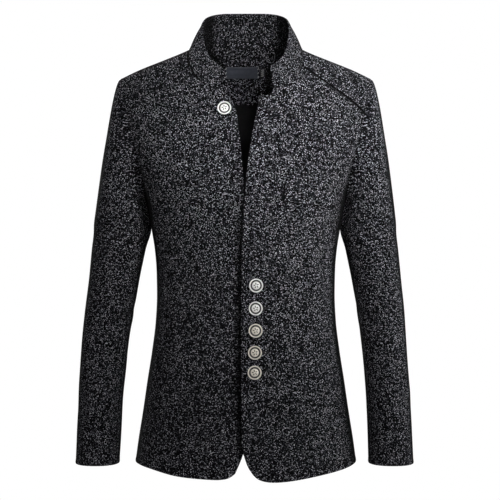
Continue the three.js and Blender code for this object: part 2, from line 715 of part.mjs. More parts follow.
// The sleeve head runs from the top ring, where it hangs straight, into the armhole
const HEAD_FULLNESS = 0.25;
const SLEEVE_EASE = 1.6; // the sleeve's share of the gap at the armhole, in halves

function sleeveHeadPoint(side, step, share) {
  const start = sleeveRingPoint(side, step, SLEEVE_TOP_Z);
  const hang = 10;
  const slope = start.clone().sub(sleeveRingPoint(side, step, SLEEVE_TOP_Z - hang)).normalize();
  const { spot, toSleeve } = armholeFrame(side, step);
  const reach = spot.distanceTo(start);
  const t = share;
  return start.multiplyScalar((1 + 2 * t) * (1 - t) ** 2)
    .addScaledVector(spot, t * t * (3 - 2 * t))
    .addScaledVector(slope, t * (1 - t) ** 2 * reach)
    .addScaledVector(toSleeve, t * t * (1 - t) * reach * HEAD_FULLNESS);
}

// Rows of the sleeve from the armhole to the cuff, at the given steps round it
function sleeveGrid(side, steps) {
  const head = range(HEAD_ROWS).map((i) => 1 - i / HEAD_ROWS);
  const rings = evenly(SLEEVE_ROWS).map((f) => SLEEVE_TOP_Z + (CUFF_Z - SLEEVE_TOP_Z) * f);
  return [
    ...head.map((share) => steps.map((step) => sleeveHeadPoint(side, step, share))),
    ...rings.map((z) => steps.map((step) => sleeveRingPoint(side, step, z))),
  ];
}

function sleeveSeam(side, step) {
  const spread = 0.5;
  const grid = sleeveGrid(side, [step - spread, step, step + spread]);
  const normals = grid.map((row, i) => {
    const above = grid[Math.max(i - 1, 0)][1];
    const below = grid[Math.min(i + 1, grid.length - 1)][1];
    const round = row[2].clone().sub(row[0]);
    return round.cross(below.clone().sub(above)).multiplyScalar(side).normalize();
  });
  return plainSeam(normals);
}

function sleevePart(side, firstStep, lastStep) {
  const steps = range(lastStep - firstStep + 1).map((i) => firstStep + i);
  const outer = sleeveGrid(side, steps);
  const inside = (spot) => {
    const z = Math.min(spot.z, SLEEVE_TOP_Z);
    return point(side * sleeveTrack[side].x(z), sleeveY(z), Math.min(spot.z, ARM_CORE.topZ));
  };
  return wall(outer, CLOTH, {
    top: armholeEdge(side, steps, SLEEVE_EASE),
    first: sleeveSeam(side, firstStep),
    last: sleeveSeam(side, lastStep),
  }, inside);
}

function collar() {
  const frontSteps = range(COLLAR_END - YOKE_START).map((i) => YOKE_START + 1 + i);
  const sideSteps = [...range(SIDE_NECK), ...yokeNeckSteps, ...frontSteps];
  const stations = [
    ...sideSteps.slice(1).reverse().map((step) => ({ side: RIGHT, step })),
    ...sideSteps.map((step) => ({ side: LEFT, step })),
  ];
  const outer = evenly(COLLAR_ROWS).map((f) => stations.map(({ side, step }) => (
    collarSeamSpot(side, step).lerp(collarTopSpot(side, step), f)
  )));
  const top = stations.map(({ side, step }) => neckEdge(side, [step], 1)[0]);
  return wall(outer, COLLAR_CLOTH, { top }, (spot) => point(0, NECK_CORE.y, spot.z - NECK_CORE.drop));
}

// A thin layer inside the back, made from the back's own points
function innerLayer(rows, depthIn, cloth) {
  const outer = rows.map((row) => row.map((spot) => (
    bodyPoint(BACK, spot.x, spot.z).addScaledVector(bodyNormal(BACK, spot.x, spot.z), -depthIn)
  )));
  return wall(outer, cloth, {}, insideBody);
}

const FACING_COLUMNS = 24;
const FACING_ROWS = 6;
const facingLow = track(FACING_EDGE, 'x', 'z');
const neckLine = track(COLLAR.slice(0, SIDE_NECK + 1), 'x', 'z');

function facingTop(x) {
  const reach = COLLAR[SIDE_NECK].x;
  const out = Math.max(Math.abs(x) - reach, 0);
  return (out > 0 ? ridge(Math.abs(x)) : neckLine(Math.abs(x))) - FACING_DROP;
}

function facing() {
  const across = evenly(FACING_COLUMNS).map((f) => FACING_HALF * (2 * f - 1));
  const rows = squared(FACING_ROWS).map((f) => across.map((x) => ({
    x,
    z: facingTop(x) + (facingLow(Math.abs(x)) - facingTop(x)) * f,
  })));
  return innerLayer(rows, FACING_IN, FACING_CLOTH);
}

const LINING_DROP = 1.0; // gap between the facing's lower edge and the lining
const LINING_COLUMNS = 14;
const LINING_ROWS = 9;

function lining() {
  const across = evenly(LINING_COLUMNS).map((f) => FACING_HALF * (2 * f - 1));
  const rows = evenly(LINING_ROWS).map((f) => across.map((x) => {
    const top = facingLow(Math.abs(x)) - LINING_DROP;
    return { x, z: top + (LINING_HEM_Z - top) * f };
  }));
  return innerLayer(rows, FACING_IN, LINING_CLOTH);
}

const LABEL_OFF = 0.8;

function tab(size) {
  const rows = evenly(TAB_ROWS).map((f) => evenly(size.columns).map((g) => ({
    x: size.x + (g - 0.5) * size.width,
    z: size.z + (0.5 - f) * size.height,
  })));
  return innerLayer(rows, FACING_IN + FACING_CLOTH + LABEL_OFF, size.cloth);
}

const WELT_COLUMNS = 9;
const WELT_ROWS = 3;

function welt() {
  const rows = evenly(WELT_ROWS).map((f) => evenly(WELT_COLUMNS).map((g) => ({
    x: WELT.startX + (WELT.endX - WELT.startX) * g + WELT.lean * f,
    z: WELT.topZ + WELT.slope * (WELT.endX - WELT.startX) * g - WELT.height * f,
  })));
  const lift = WELT_OFF + WELT.cloth;
  const outer = rows.map((row) => row.map((spot) => (
    frontPoint(LEFT, spot.x, spot.z).addScaledVector(bodyNormal(FRONT, spot.x, spot.z), lift)
  )));
  return wall(outer, WELT.cloth, {}, insideBody);
}

function mesh(name, geometry, look) {
  const made = new THREE.Mesh(geometry, new THREE.MeshStandardMaterial(look));
  made.name = name;
  return made;
}

function button({ name, x, z }) {
  const profile = BUTTON_PROFILE.map(({ r, h }) => new THREE.Vector2(r, h));
  const made = mesh(name, new THREE.LatheGeometry(profile, BUTTON_STEPS), PEWTER);
  const side = x < 0 ? RIGHT : LEFT;
  const normal = bodyNormal(FRONT, x, z);
  made.position.copy(frontPoint(side, x, z).addScaledVector(normal, SEAM_GAP));
  made.quaternion.setFromUnitVectors(point(0, 1, 0), normal);
  return made;
}

const SIDES = [
  { side: RIGHT, word: 'right' },
  { side: LEFT, word: 'left' },
];

const jacket = new THREE.Group();
for (const { side, word } of SIDES) {
  jacket.add(mesh(`front_${word}`, front(side), TWEED));
  jacket.add(mesh(`yoke_${word}`, yoke(side), TWEED));
  jacket.add(mesh(`back_${word}`, back(side), TWEED));
  jacket.add(mesh(`top_sleeve_${word}`, sleevePart(side, BACK_SEAM_STEP, FRONT_SEAM_STEP), TWEED));
  const underEnd = SLEEVE_STEPS + BACK_SEAM_STEP;
  jacket.add(mesh(`under_sleeve_${word}`, sleevePart(side, FRONT_SEAM_STEP, underEnd), TWEED));
}
jacket.add(mesh('collar', collar(), TWEED));
jacket.add(mesh('back_facing', facing(), TWEED));
jacket.add(mesh('back_lining', lining(), LINING));
jacket.add(mesh('neck_label', tab(LABEL), LABEL_WEAVE));
jacket.add(mesh('size_tab', tab(SIZE_TAB), LABEL_WEAVE));
jacket.add(mesh('breast_welt', welt(), TWEED));
BUTTONS.forEach((row) => jacket.add(button(row)));

export default jacket;
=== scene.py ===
"""The looks of a stand-collar tweed jacket, filled out with no wearer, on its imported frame.

Tables and cloth forms are in millimetres, in the frame's own axes: +Z up, the front
faces -Y and +X is the wearer's left. Meshes are made in metres.
"""

import logging
import math
from collections.abc import Sequence
from dataclasses import dataclass, field
from enum import Enum
from typing import NamedTuple

import bpy
import numpy as np
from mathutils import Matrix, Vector


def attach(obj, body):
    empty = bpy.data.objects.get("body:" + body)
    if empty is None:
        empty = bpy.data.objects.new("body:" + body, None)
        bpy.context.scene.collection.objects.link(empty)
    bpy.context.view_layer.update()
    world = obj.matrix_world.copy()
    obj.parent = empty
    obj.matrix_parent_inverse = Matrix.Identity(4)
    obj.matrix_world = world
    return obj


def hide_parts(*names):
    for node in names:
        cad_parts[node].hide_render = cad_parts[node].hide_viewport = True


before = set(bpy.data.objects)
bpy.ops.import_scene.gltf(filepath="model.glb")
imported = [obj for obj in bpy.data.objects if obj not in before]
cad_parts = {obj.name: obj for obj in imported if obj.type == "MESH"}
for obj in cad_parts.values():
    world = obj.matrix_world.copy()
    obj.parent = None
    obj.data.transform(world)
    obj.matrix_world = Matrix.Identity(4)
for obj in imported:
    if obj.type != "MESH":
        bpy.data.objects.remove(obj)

LOG = logging.getLogger("jacket")
MM = 0.001
BODY = "root"

CLOTH = 2.0
COLLAR_CLOTH = 3.2
SEAM_PLANE_Y = 6.0
CHEST_Z = -255.0
SHOULDER_Z = -49.5
SIDE_HEM_Z = -697.0
BACK_HEM_Z = -695.0
YOKE_END_Z = -113.0
SIDE_POWER = 2.5
SEAM_WIDTH = 2.4
SEAM_DEPTH = 1.1
# Reach and soft edge of the painted shade line beside each seam
SEAM_SHADE = 2.5
SEAM_SHADE_EDGE = 1.5
SEAM_BLEND = 5.0
CREASE_FADE = 16.0
# The rolled bulge inside a folded edge, and the least cloth that is left beside a hollow
ROLL_IN = 3.2
ROLL_WIDTH = 2.4
LEAST_CLOTH = 0.4
LEAST_EDGE = 0.02
# Places of the closer rows beside an edge, as shares of a part
CLOSE_ROWS = (0.09, 0.2, 0.33, 0.5, 0.72)
TURN_UP = 32.0
FACING_WIDTH = 78.0
# Rows and columns of the panels' cut, and steps round an armhole
YOKE_ROWS = 4
YOKE_COLUMNS = 6
CHEST_ROWS = 8
BACK_ROWS = 12
HEM_ROWS = 16
ARMHOLE_TURN = 24


class Side(Enum):
    """The wearer's right or left, as the sign of x."""

    RIGHT = -1
    LEFT = 1

    @property
    def word(self) -> str:
        """The side's name, as the frame's nodes have it."""
        return self.name.lower()


class Face(Enum):
    """The half of the body that a panel lies on."""

    FRONT = "front"
    BACK = "back"


class TorsoRow(NamedTuple):
    """Half width of the body at a height, and the depths of its centre front and back."""

    z: float
    half: float
    front: float
    back: float


class ArmholeRow(NamedTuple):
    """The armhole seam at a height, as shares of the half width."""

    z: float
    front: float
    back: float


class CollarRow(NamedTuple):
    """A place on the collar seam and the collar's top edge above it."""

    step: float
    x: float
    z: float
    top_x: float
    top_y: float
    top_z: float


class Spot(NamedTuple):
    """A place on a panel, seen from the front or back."""

    x: float
    z: float


class SleeveRow(NamedTuple):
    """A ring of both sleeves."""

    z: float
    right_x: float
    right_half: float
    left_x: float
    left_half: float
    y: float
    depth: float


class Dent(NamedTuple):
    """A broad soft hollow of the body."""

    face: Face
    x: float
    z: float
    depth: float
    tall: float
    wide: float


class SleeveDent(NamedTuple):
    """A broad soft hollow of both sleeves. Angle 0 faces outwards and 90 to the front."""

    z: float
    angle: float
    depth: float
    tall: float
    wide: float


class Crease(NamedTuple):
    """A soft ridge, or a trough if its height is negative, along a line on the cloth."""

    u0: float
    z0: float
    u1: float
    z1: float
    height: float
    width: float


def table(kind: type, *rows: Sequence) -> tuple:
    """Rows of one kind, from their plain numbers."""
    return tuple(kind(*row) for row in rows)


TORSO = table(
    TorsoRow,
    (40, 236, -50, 90), (12, 233, -58, 99), (-25, 229, -67, 104), (-50, 226, -76, 107),
    (-87, 221, -91, 112), (-113, 217, -99, 115), (-150, 208, -110, 119), (-200, 188.5, -121, 123),
    (-235, 174.8, -125.5, 123), (-255, 168.4, -127, 122), (-280, 163.8, -127, 120),
    (-303, 160.3, -125.5, 117), (-340, 154.4, -123, 111), (-374, 151.6, -121.5, 106),
    (-416, 150.8, -121, 103), (-459, 152.8, -121.5, 105), (-510, 159, -122.5, 111),
    (-561, 167, -124, 118), (-612, 174.4, -125.5, 124), (-663, 182.5, -127, 128),
    (-720, 190, -128, 131),
)

RIDGE = table(
    Spot,
    (0, 38), (34, 33.4), (64, 21.7), (85, 9.3), (96.5, 1), (113, -6.6), (139, -17), (181.5, -34),
    (214, -49.5), (240, -62),
)

ARMHOLE = table(
    ArmholeRow,
    (-49.5, 0.9465, 0.9465), (-80, 0.937, 0.935), (-113, 0.924, 0.926), (-150, 0.916, 0.931),
    (-200, 0.942, 0.955), (-235, 0.976, 0.98), (-255, 1, 1),
)

COLLAR = table(
    CollarRow,
    (0, 0, 12, 0, 56, 69.5), (1, 34, 11.5, 32, 53.5, 69), (2, 64, 8, 56, 46, 65.5),
    (3, 85, 3.5, 70, 31, 57.5), (4, 96.5, 1, 73.5, 12, 45.5), (5, 97.5, -15, 72.3, -6, 27),
    (6, 94, -31, 69.5, -22, 8), (7, 87, -46, 62.5, -40, -12), (8, 76, -59, 52, -55, -25),
    (9, 62, -69, 43, -65, -33), (10, 46, -72, 35, -74, -39),
)
SIDE_NECK = 4
YOKE_START = 6
COLLAR_END = 10
LEFT_SHIFT_START = 7
LEFT_END_SHIFT = (5.5, 4.0, 5.5)

YOKE_SEAM = table(
    Spot,
    (94, -31), (108, -40.4), (135, -60.5), (162, -79.5), (185.5, -98), (200.5, -113),
)

# How dark the painted shade line along each yoke seam is, where more than 1 is a wider line
YOKE_SEAM_SHADE = {Side.LEFT: 1.5, Side.RIGHT: 0.6}


class FrontCut(NamedTuple):
    """A front's edge down to the chest line, from there to its rounded corner, and its hem."""

    upper: tuple[Spot, ...]
    lower: tuple[Spot, ...]
    hem: tuple[Spot, ...]


FRONT_CUT = {
    Side.LEFT: FrontCut(
        upper=table(
            Spot,
            (23.3, -86.5), (17.3, -116), (10.4, -152), (6.4, -178), (2.2, -212), (-1.2, -255),
        ),
        lower=table(
            Spot,
            (-1.2, -255), (-5.2, -320), (-7.4, -400), (-7.6, -500), (-7.2, -600), (-5.6, -660),
            (-1, -680), (4.5, -694.5), (12.5, -706.5),
        ),
        hem=table(
            Spot,
            (12.5, -706.5), (21.5, -713.8), (36.4, -718), (56, -718.5), (85, -715.7), (133, -708),
            (166, -702),
        ),
    ),
    Side.RIGHT: FrontCut(
        upper=table(
            Spot,
            (24.5, -90), (15.4, -112), (11.1, -145), (7.6, -178), (4.4, -215), (0, -255),
        ),
        lower=table(
            Spot,
            (0, -255), (-12, -310), (-23, -370), (-27, -450), (-26, -545), (-16, -610),
            (-1, -655), (6.5, -680), (17, -704.5),
        ),
        hem=table(
            Spot,
            (17, -704.5), (25, -710.4), (36, -713.6), (58, -714.3), (112, -710.5), (156, -702),
        ),
    ),
}

SLEEVE = table(
    SleeveRow,
    (-275, 210.6, 43.6, 209.4, 42.6, 2, 67), (-303, 210, 47.3, 208.6, 46, 2.5, 66),
    (-340, 216.2, 45.2, 214.4, 44.3, 3, 64), (-391, 224.1, 42.5, 222.2, 41.6, 3, 61),
    (-442, 231.5, 41.5, 229, 40, 1.5, 58), (-493, 238, 39.9, 233.6, 38.4, -3, 56),
    (-543, 241.7, 39, 237.4, 37.4, -11, 54), (-593, 245.3, 38, 240.9, 37.9, -20, 52),
    (-643, 246.7, 37.4, 242.3, 37.4, -28, 50), (-697, 248.8, 36.4, 243.7, 37.6, -36, 48),
)
SLEEVE_TOP_Z = -275.0
CUFF_Z = -697.0

BODY_DENTS = table(
    Dent,
    (Face.FRONT, 100, -410, 3.0, 60, 20), (Face.FRONT, -98, -405, 3.0, 60, 20),
    (Face.FRONT, 70, -640, 2.2, 16, 60), (Face.FRONT, -80, -635, 2.2, 18, 55),
    (Face.BACK, 88, -400, 3.2, 60, 22), (Face.BACK, -88, -400, 3.2, 60, 22),
)

SLEEVE_DENTS = table(
    SleeveDent,
    (-330, 70, 2.2, 30, 45), (-462, 120, 3.2, 20, 45), (-520, 95, 2.6, 22, 40),
    (-600, 40, 1.8, 26, 45), (-400, 300, 2.4, 28, 40), (-505, 255, 2.8, 24, 45),
)

# Creases of the body: u is x on the panel, and positive towards the wearer's left
FRONT_CREASES = table(
    Crease,
    (66, -340, 70, -500, 1.3, 9), (104, -352, 101, -486, 1.1, 8), (86, -360, 87, -470, -1.2, 8),
    (-60, -400, -54, -560, 1.5, 12), (-84, -380, -80, -520, -1.2, 10),
    (24, -652, 132, -641, 1.2, 8), (40, -672, 150, -664, -1.1, 8),
    (-30, -648, -150, -634, 1.1, 9), (-44, -668, -150, -660, -1.0, 8),
    (168, -232, 118, -262, -1.7, 8), (176, -205, 132, -214, 1.3, 8),
    (-168, -232, -112, -266, -1.8, 9), (-178, -205, -128, -216, 1.4, 8),
    (28, -402, 92, -380, -0.9, 6), (30, -440, 80, -446, 0.8, 6), (-40, -410, -112, -384, -0.9, 7),
    (128, -300, 146, -420, -1.2, 9), (-128, -296, -146, -430, -1.3, 10),
    (130, -540, 152, -660, 1.4, 12), (-122, -548, -146, -672, 1.5, 12),
)
BACK_CREASES = table(
    Crease,
    (150, -232, 96, -282, -1.8, 10), (162, -205, 112, -236, 1.5, 9),
    (-148, -236, -90, -290, -1.9, 10), (-160, -208, -108, -242, 1.6, 9),
    (22, -392, 112, -378, -1.6, 8), (30, -414, 104, -410, 1.4, 8),
    (-18, -398, -108, -384, -1.7, 9), (-34, -420, -96, -416, 1.3, 8),
    (60, -470, 84, -660, 1.9, 15), (-64, -480, -92, -668, 1.8, 15),
    (112, -520, 138, -680, -1.7, 13), (-118, -508, -142, -682, -1.6, 12),
    (14, -60, 70, -92, 0.9, 9), (-12, -66, -64, -98, 0.8, 9),
)
# Creases of the sleeves: u is the angle in degrees, as for the sleeve dents
SLEEVE_CREASES = {
    Side.LEFT: table(
        Crease,
        (150, -300, 60, -336, -1.6, 8), (140, -322, 70, -366, 1.4, 9),
        (170, -440, 70, -470, -2.3, 8), (175, -462, 60, -502, 1.8, 9),
        (160, -500, 40, -552, -2.0, 8), (120, -524, 20, -578, 1.6, 9),
        (130, -598, 30, -622, -1.2, 8), (230, -330, 300, -372, -1.7, 9),
        (200, -430, 310, -470, -2.2, 9), (205, -458, 300, -500, 1.7, 9),
        (210, -540, 320, -566, -1.5, 9), (20, -150, 10, -330, 1.0, 12),
        (181, -236, 180, -322, 3.3, 9),
    ),
    Side.RIGHT: table(
        Crease,
        (148, -310, 55, -344, -1.7, 8), (150, -334, 75, -372, 1.3, 9),
        (172, -446, 60, -482, -2.4, 8), (168, -470, 75, -512, 1.9, 9),
        (165, -520, 50, -560, -1.9, 8), (125, -545, 30, -590, 1.5, 9),
        (140, -610, 40, -630, -1.1, 8), (225, -338, 305, -380, -1.8, 9),
        (195, -438, 305, -482, -2.3, 9), (210, -470, 300, -506, 1.6, 9),
        (215, -548, 310, -580, -1.4, 9), (18, -155, 8, -340, 1.1, 12),
        (181, -236, 180, -320, 3.0, 9),
    ),
}


def smooth(value: np.ndarray | float) -> np.ndarray:
    """A soft step from 0 to 1."""
    t = np.clip(value, 0.0, 1.0)
    return t * t * (3.0 - 2.0 * t)


def bell(distance: np.ndarray | float, spread: float) -> np.ndarray:
    """A soft bump of height 1."""
    return np.exp(-((distance / spread) ** 2))


def unit(vectors: np.ndarray) -> np.ndarray:
    """The vectors at length 1."""
    return vectors / np.maximum(np.linalg.norm(vectors, axis=-1, keepdims=True), 1e-12)


def stack(x: np.ndarray, y: np.ndarray, z: np.ndarray) -> np.ndarray:
    """Points from their coordinates."""
    return np.stack(np.broadcast_arrays(x, y, z), axis=-1).astype(float)


def column(rows: Sequence[NamedTuple], name: str) -> np.ndarray:
    """One column of a table."""
    return np.array([getattr(row, name) for row in rows], float)


def refined(count: int, parts: int) -> np.ndarray:
    """Indices from 0 to count in even parts, with closer ones beside both ends.

    Args:
        count: The last index.
        parts: How many parts each whole index is cut into.

    Returns:
        The indices in rising order.
    """
    even = np.linspace(0.0, count, count * parts + 1)
    close = np.array(CLOSE_ROWS) / parts
    return np.unique(np.concatenate([even, close, count - close]))


def run_length(line: np.ndarray) -> np.ndarray:
    """How far along a line of points each one lies."""
    return np.concatenate([[0.0], np.cumsum(np.linalg.norm(np.diff(line, axis=0), axis=-1))])


def ring_faces(rings: int, steps: int) -> np.ndarray:
    """Corners of the faces between closed rings of points."""
    index = np.arange(rings * steps).reshape(rings, steps)
    around = np.roll(index, -1, axis=1)
    return np.stack([index[:-1], around[:-1], around[1:], index[1:]], -1).reshape(-1, 4)


class Track:
    """A smooth curve through one column of a table, without overshoot."""

    def __init__(self, rows: Sequence[NamedTuple], key: str, value: str) -> None:
        """Reads the two columns.

        Args:
            rows: The table.
            key: The column that the curve runs along.
            value: The column that it gives.
        """
        order = np.argsort(column(rows, key))
        self.at = column(rows, key)[order]
        self.value = column(rows, value)[order]
        rise = np.diff(self.value) / np.diff(self.at)
        self.slope = np.concatenate([rise[:1], np.zeros(len(rise) - 1), rise[-1:]])
        for i in range(1, len(rise)):
            before, after = rise[i - 1], rise[i]
            if before * after > 0:
                self.slope[i] = 2 * before * after / (before + after)

    def __call__(self, where: np.ndarray | float) -> np.ndarray:
        """The curve's values at the given keys."""
        x = np.clip(np.asarray(where, float), self.at[0], self.at[-1])
        i = np.clip(np.searchsorted(self.at, x, side="right") - 1, 0, len(self.at) - 2)
        span = self.at[i + 1] - self.at[i]
        t = (x - self.at[i]) / span
        low = (1 + 2 * t) * (1 - t) ** 2 * self.value[i] + t * (1 - t) ** 2 * span * self.slope[i]
        high = t * t * (3 - 2 * t) * self.value[i + 1] + t * t * (t - 1) * span * self.slope[i + 1]
        return low + high


def along(spots: Sequence[Sequence[float]], shares: np.ndarray) -> np.ndarray:
    """Points of a smooth line through some spots.

    Args:
        spots: Pairs of numbers.
        shares: Shares of the line's length.

    Returns:
        One pair for each share.
    """
    p = np.array([spots[0], *spots, spots[-1]], float)
    t = np.linspace(0.0, 1.0, 40)[:, None]
    runs = []
    for i in range(1, len(p) - 2):
        a, b = (p[i + 1] - p[i - 1]) / 2, (p[i + 2] - p[i]) / 2
        cubic = (2 * p[i] - 2 * p[i + 1] + a + b) * t**3
        square = (3 * p[i + 1] - 3 * p[i] - 2 * a - b) * t**2
        runs.append(cubic + square + a * t + p[i])
    line = np.concatenate(runs)
    gone = run_length(line)
    where = np.asarray(shares) * gone[-1]
    return np.stack([np.interp(where, gone, line[:, k]) for k in range(2)], axis=-1)


def patch(
    first: np.ndarray,
    last: np.ndarray,
    top: np.ndarray,
    bottom: np.ndarray,
    down: np.ndarray,
    across: np.ndarray,
) -> np.ndarray:
    """A panel between four edges.

    Args:
        first: The edge at the first column, a pair for each row.
        last: The edge at the last column.
        top: The edge at the first row, a pair for each column.
        bottom: The edge at the last row.
        down: The rows' shares of the way down.
        across: The columns' shares of the way across.

    Returns:
        Pairs in rows and columns.
    """
    t, s = down[:, None, None], across[None, :, None]
    sides = (1 - s) * first[:, None] + s * last[:, None]
    ends = (1 - t) * top[None] + t * bottom[None]
    above = (1 - s) * top[0] + s * top[-1]
    below = (1 - s) * bottom[0] + s * bottom[-1]
    return sides + ends - (1 - t) * above - t * below


def crease_heights(creases: Sequence[Crease], u: np.ndarray, z: np.ndarray) -> np.ndarray:
    """How far creases lift the cloth.

    Args:
        creases: The ridges and troughs.
        u: Places across, in millimetres.
        z: Heights.

    Returns:
        The lift at each place.
    """
    lift = np.zeros(np.broadcast(u, z).shape)
    for crease in creases:
        du, dz = crease.u1 - crease.u0, crease.z1 - crease.z0
        length = math.hypot(du, dz)
        share = np.clip(((u - crease.u0) * du + (z - crease.z0) * dz) / length**2, -0.3, 1.3)
        bow = crease.width * 0.8 * np.sin(np.clip(share, 0, 1) * math.pi)
        off = ((u - crease.u0) * dz - (z - crease.z0) * du) / length - bow
        taper = smooth((share + 0.25) / 0.5) * smooth((1.2 - share) / 0.55)
        body = bell(off, crease.width) - 0.45 * bell(off - 1.8 * crease.width, crease.width)
        lift = lift + crease.height * taper * body
    return lift


def unevenness(u: np.ndarray, z: np.ndarray, seed: float) -> np.ndarray:
    """Slow waves that keep the cloth from looking machined."""
    waves = np.sin(u / 23.0 + seed) * np.sin(z / 41.0 + 1.7 * seed)
    return 0.35 * (waves + np.sin(u / 47.0 + z / 63.0 + 2.3 * seed) * 0.8)


@dataclass
class BodyForm:
    """The outer face of the body's cloth, with the lines that the panels are cut on."""

    roll: dict[Face, float] = field(default_factory=lambda: {Face.FRONT: 120.0, Face.BACK: 130.0})
    lap_depth: float = 3.2
    lap_start: float = 42.0
    lap_width: float = 30.0
    lap_dip: float = 1.8
    lap_lift: float = 1.3
    shoulder_flare: float = 0.45
    ease: float = 0.24
    still_sides: float = 0.9
    calm_middle: float = 0.35
    # How dark the painted shade along the armhole and collar seams is
    armhole_dark: tuple[float, float] = (0.1, 0.45)
    collar_back_dark: float = 0.6
    collar_fade: float = 7.5
    collar_dark: dict[Side, float] = field(
        default_factory=lambda: {Side.LEFT: 0.08, Side.RIGHT: 1.5}
    )

    def __post_init__(self) -> None:
        """Makes the tables' curves."""
        self.half = Track(TORSO, "z", "half")
        self.centre = {face: Track(TORSO, "z", face.value) for face in Face}
        self.ridge = Track(RIDGE, "x", "z")
        self.armhole = {face: Track(ARMHOLE, "z", face.value) for face in Face}
        self.seam_x, self.seam_z = Track(COLLAR, "step", "x"), Track(COLLAR, "step", "z")
        self.top = [Track(COLLAR, "step", name) for name in ("top_x", "top_y", "top_z")]

    def point(self, face: Face, x: np.ndarray, z: np.ndarray) -> np.ndarray:
        """Points of the outer face.

        Args:
            face: The front or the back.
            x: Places across the body.
            z: Heights.

        Returns:
            The points.
        """
        x, z = np.broadcast_arrays(np.asarray(x, float), np.asarray(z, float))
        across = np.minimum(np.abs(x) / self.half(z), 1.0)
        drop = np.clip((self.ridge(np.abs(x)) - z) / self.roll[face], 0.0, 1.0)
        rounding = np.sqrt(1 - (1 - drop) ** 2)
        fall = (1 - across**SIDE_POWER) ** (1 / SIDE_POWER)
        depth = (self.centre[face](z) - SEAM_PLANE_Y) * fall * rounding
        for dent in BODY_DENTS:
            if dent.face is face:
                pull = dent.depth * bell(x - dent.x, dent.wide) * bell(z - dent.z, dent.tall)
                depth = depth - np.sign(depth) * pull * fall
        return stack(x, SEAM_PLANE_Y + depth, z)

    def normal(self, face: Face, x: np.ndarray, z: np.ndarray) -> np.ndarray:
        """Outward directions of the outer face."""
        along_x = self.point(face, x + 1, z) - self.point(face, x - 1, z)
        along_z = self.point(face, x, z + 1) - self.point(face, x, z - 1)
        normal = unit(np.cross(along_x, along_z))
        depth = self.point(face, x, z)[..., 1] - SEAM_PLANE_Y
        outward = np.where(normal[..., 1] * depth + 0.01 * normal[..., 2] >= 0, 1.0, -1.0)
        return normal * outward[..., None]

    def front_point(self, side: Side, x: np.ndarray, z: np.ndarray) -> np.ndarray:
        """Points of one front's outer face: the right one sinks under the left one."""
        points = self.point(Face.FRONT, x, z)
        if side is Side.RIGHT:
            sink = self.lap_depth * smooth((x + self.lap_start) / self.lap_width)
            below = smooth((-150.0 - z) / 60.0)
            points[..., 1] += sink + self.lap_dip * below * smooth((x + 33.0) / 22.0)
        return points

    def reach(self, face: Face, x: np.ndarray, z: np.ndarray) -> np.ndarray:
        """Lengths over the cloth from the body's middle, at each place's height."""
        steps = np.linspace(0.0, 1.0, 25).reshape((-1,) + (1,) * np.ndim(x))
        run = self.point(face, x * steps, np.broadcast_to(z, np.shape(x)) + 0 * steps)
        return np.sign(x) * np.linalg.norm(np.diff(run, axis=0), axis=-1).sum(0)

    def lift(self, face: Face, x: np.ndarray, z: np.ndarray) -> np.ndarray:
        """How far the body's creases lift the cloth."""
        creases = FRONT_CREASES if face is Face.FRONT else BACK_CREASES
        across = np.minimum(np.abs(x) / self.half(z), 1.0)
        fade = 1 - smooth((across - self.still_sides) / (1 - self.still_sides))
        if face is Face.FRONT:
            calm = self.calm_middle
            fade = fade * (calm + (1 - calm) * smooth((np.abs(x) - 4) / 30))
        seed = 0.4 if face is Face.FRONT else 2.1
        return fade * (crease_heights(creases, x, z) + unevenness(x, z, seed))

    def to_angle(self, places: np.ndarray) -> np.ndarray:
        """Places given by x and z, as the angle round the half width and the height."""
        x, z = places[..., 0], places[..., 1]
        return np.stack([np.arcsin(np.clip(x / self.half(z), -1.0, 1.0)), z], axis=-1)

    def from_angle(self, places: np.ndarray) -> tuple[np.ndarray, np.ndarray]:
        """The x and z of places given by their angle."""
        return np.sin(places[..., 0]) * self.half(places[..., 1]), places[..., 1]

    def collar_places(self, step: np.ndarray) -> np.ndarray:
        """The x and z of the collar seam on the wearer's left."""
        return np.stack([self.seam_x(step), self.seam_z(step)], -1)

    def armhole_places(self, side: Side, step: np.ndarray) -> np.ndarray:
        """Places of an armhole seam, seen as on the wearer's left, as angle and height."""
        return self.to_angle(np.abs(self.armhole_spot(side, step))[:, ::2] * (1, -1))

    def shoulder_normal(self, side: Side, x: np.ndarray) -> np.ndarray:
        """Outward directions of a shoulder seam."""
        rise = (self.ridge(x + 1) - self.ridge(x - 1)) / 2
        return unit(stack(-side.value * rise, 0 * rise, 1 + 0 * rise))

    def side_normal(self, side: Side, z: np.ndarray) -> np.ndarray:
        """Outward directions of a side seam."""
        slope = (self.half(z + 1) - self.half(z - 1)) / 2
        return unit(stack(side.value + 0 * slope, 0 * slope, -slope))

    def armhole_spot(self, side: Side, step: np.ndarray) -> np.ndarray:
        """Points of an armhole seam: step 0 is at the shoulder and 12 under the arm."""
        k = np.mod(step, ARMHOLE_TURN)
        upper = SHOULDER_Z + (YOKE_END_Z - SHOULDER_Z) * (k / YOKE_ROWS) ** 2
        quarter = (k - YOKE_ROWS) / CHEST_ROWS * math.pi / 2
        lower = YOKE_END_Z + (CHEST_Z - YOKE_END_Z) * np.sin(quarter)
        front_z = np.where(k <= YOKE_ROWS, upper, lower)
        front_z = np.where(k <= BACK_ROWS, front_z, CHEST_Z)
        share = (1 - np.cos((ARMHOLE_TURN - k) / BACK_ROWS * math.pi)) / 2
        back_z = SHOULDER_Z + (CHEST_Z - SHOULDER_Z) * share
        sign = side.value
        front = self.armhole[Face.FRONT](front_z) * self.half(front_z) * sign
        back = self.armhole[Face.BACK](back_z) * self.half(back_z) * sign
        in_front = (k <= BACK_ROWS)[..., None]
        return np.where(
            in_front, self.point(Face.FRONT, front, front_z), self.point(Face.BACK, back, back_z)
        )

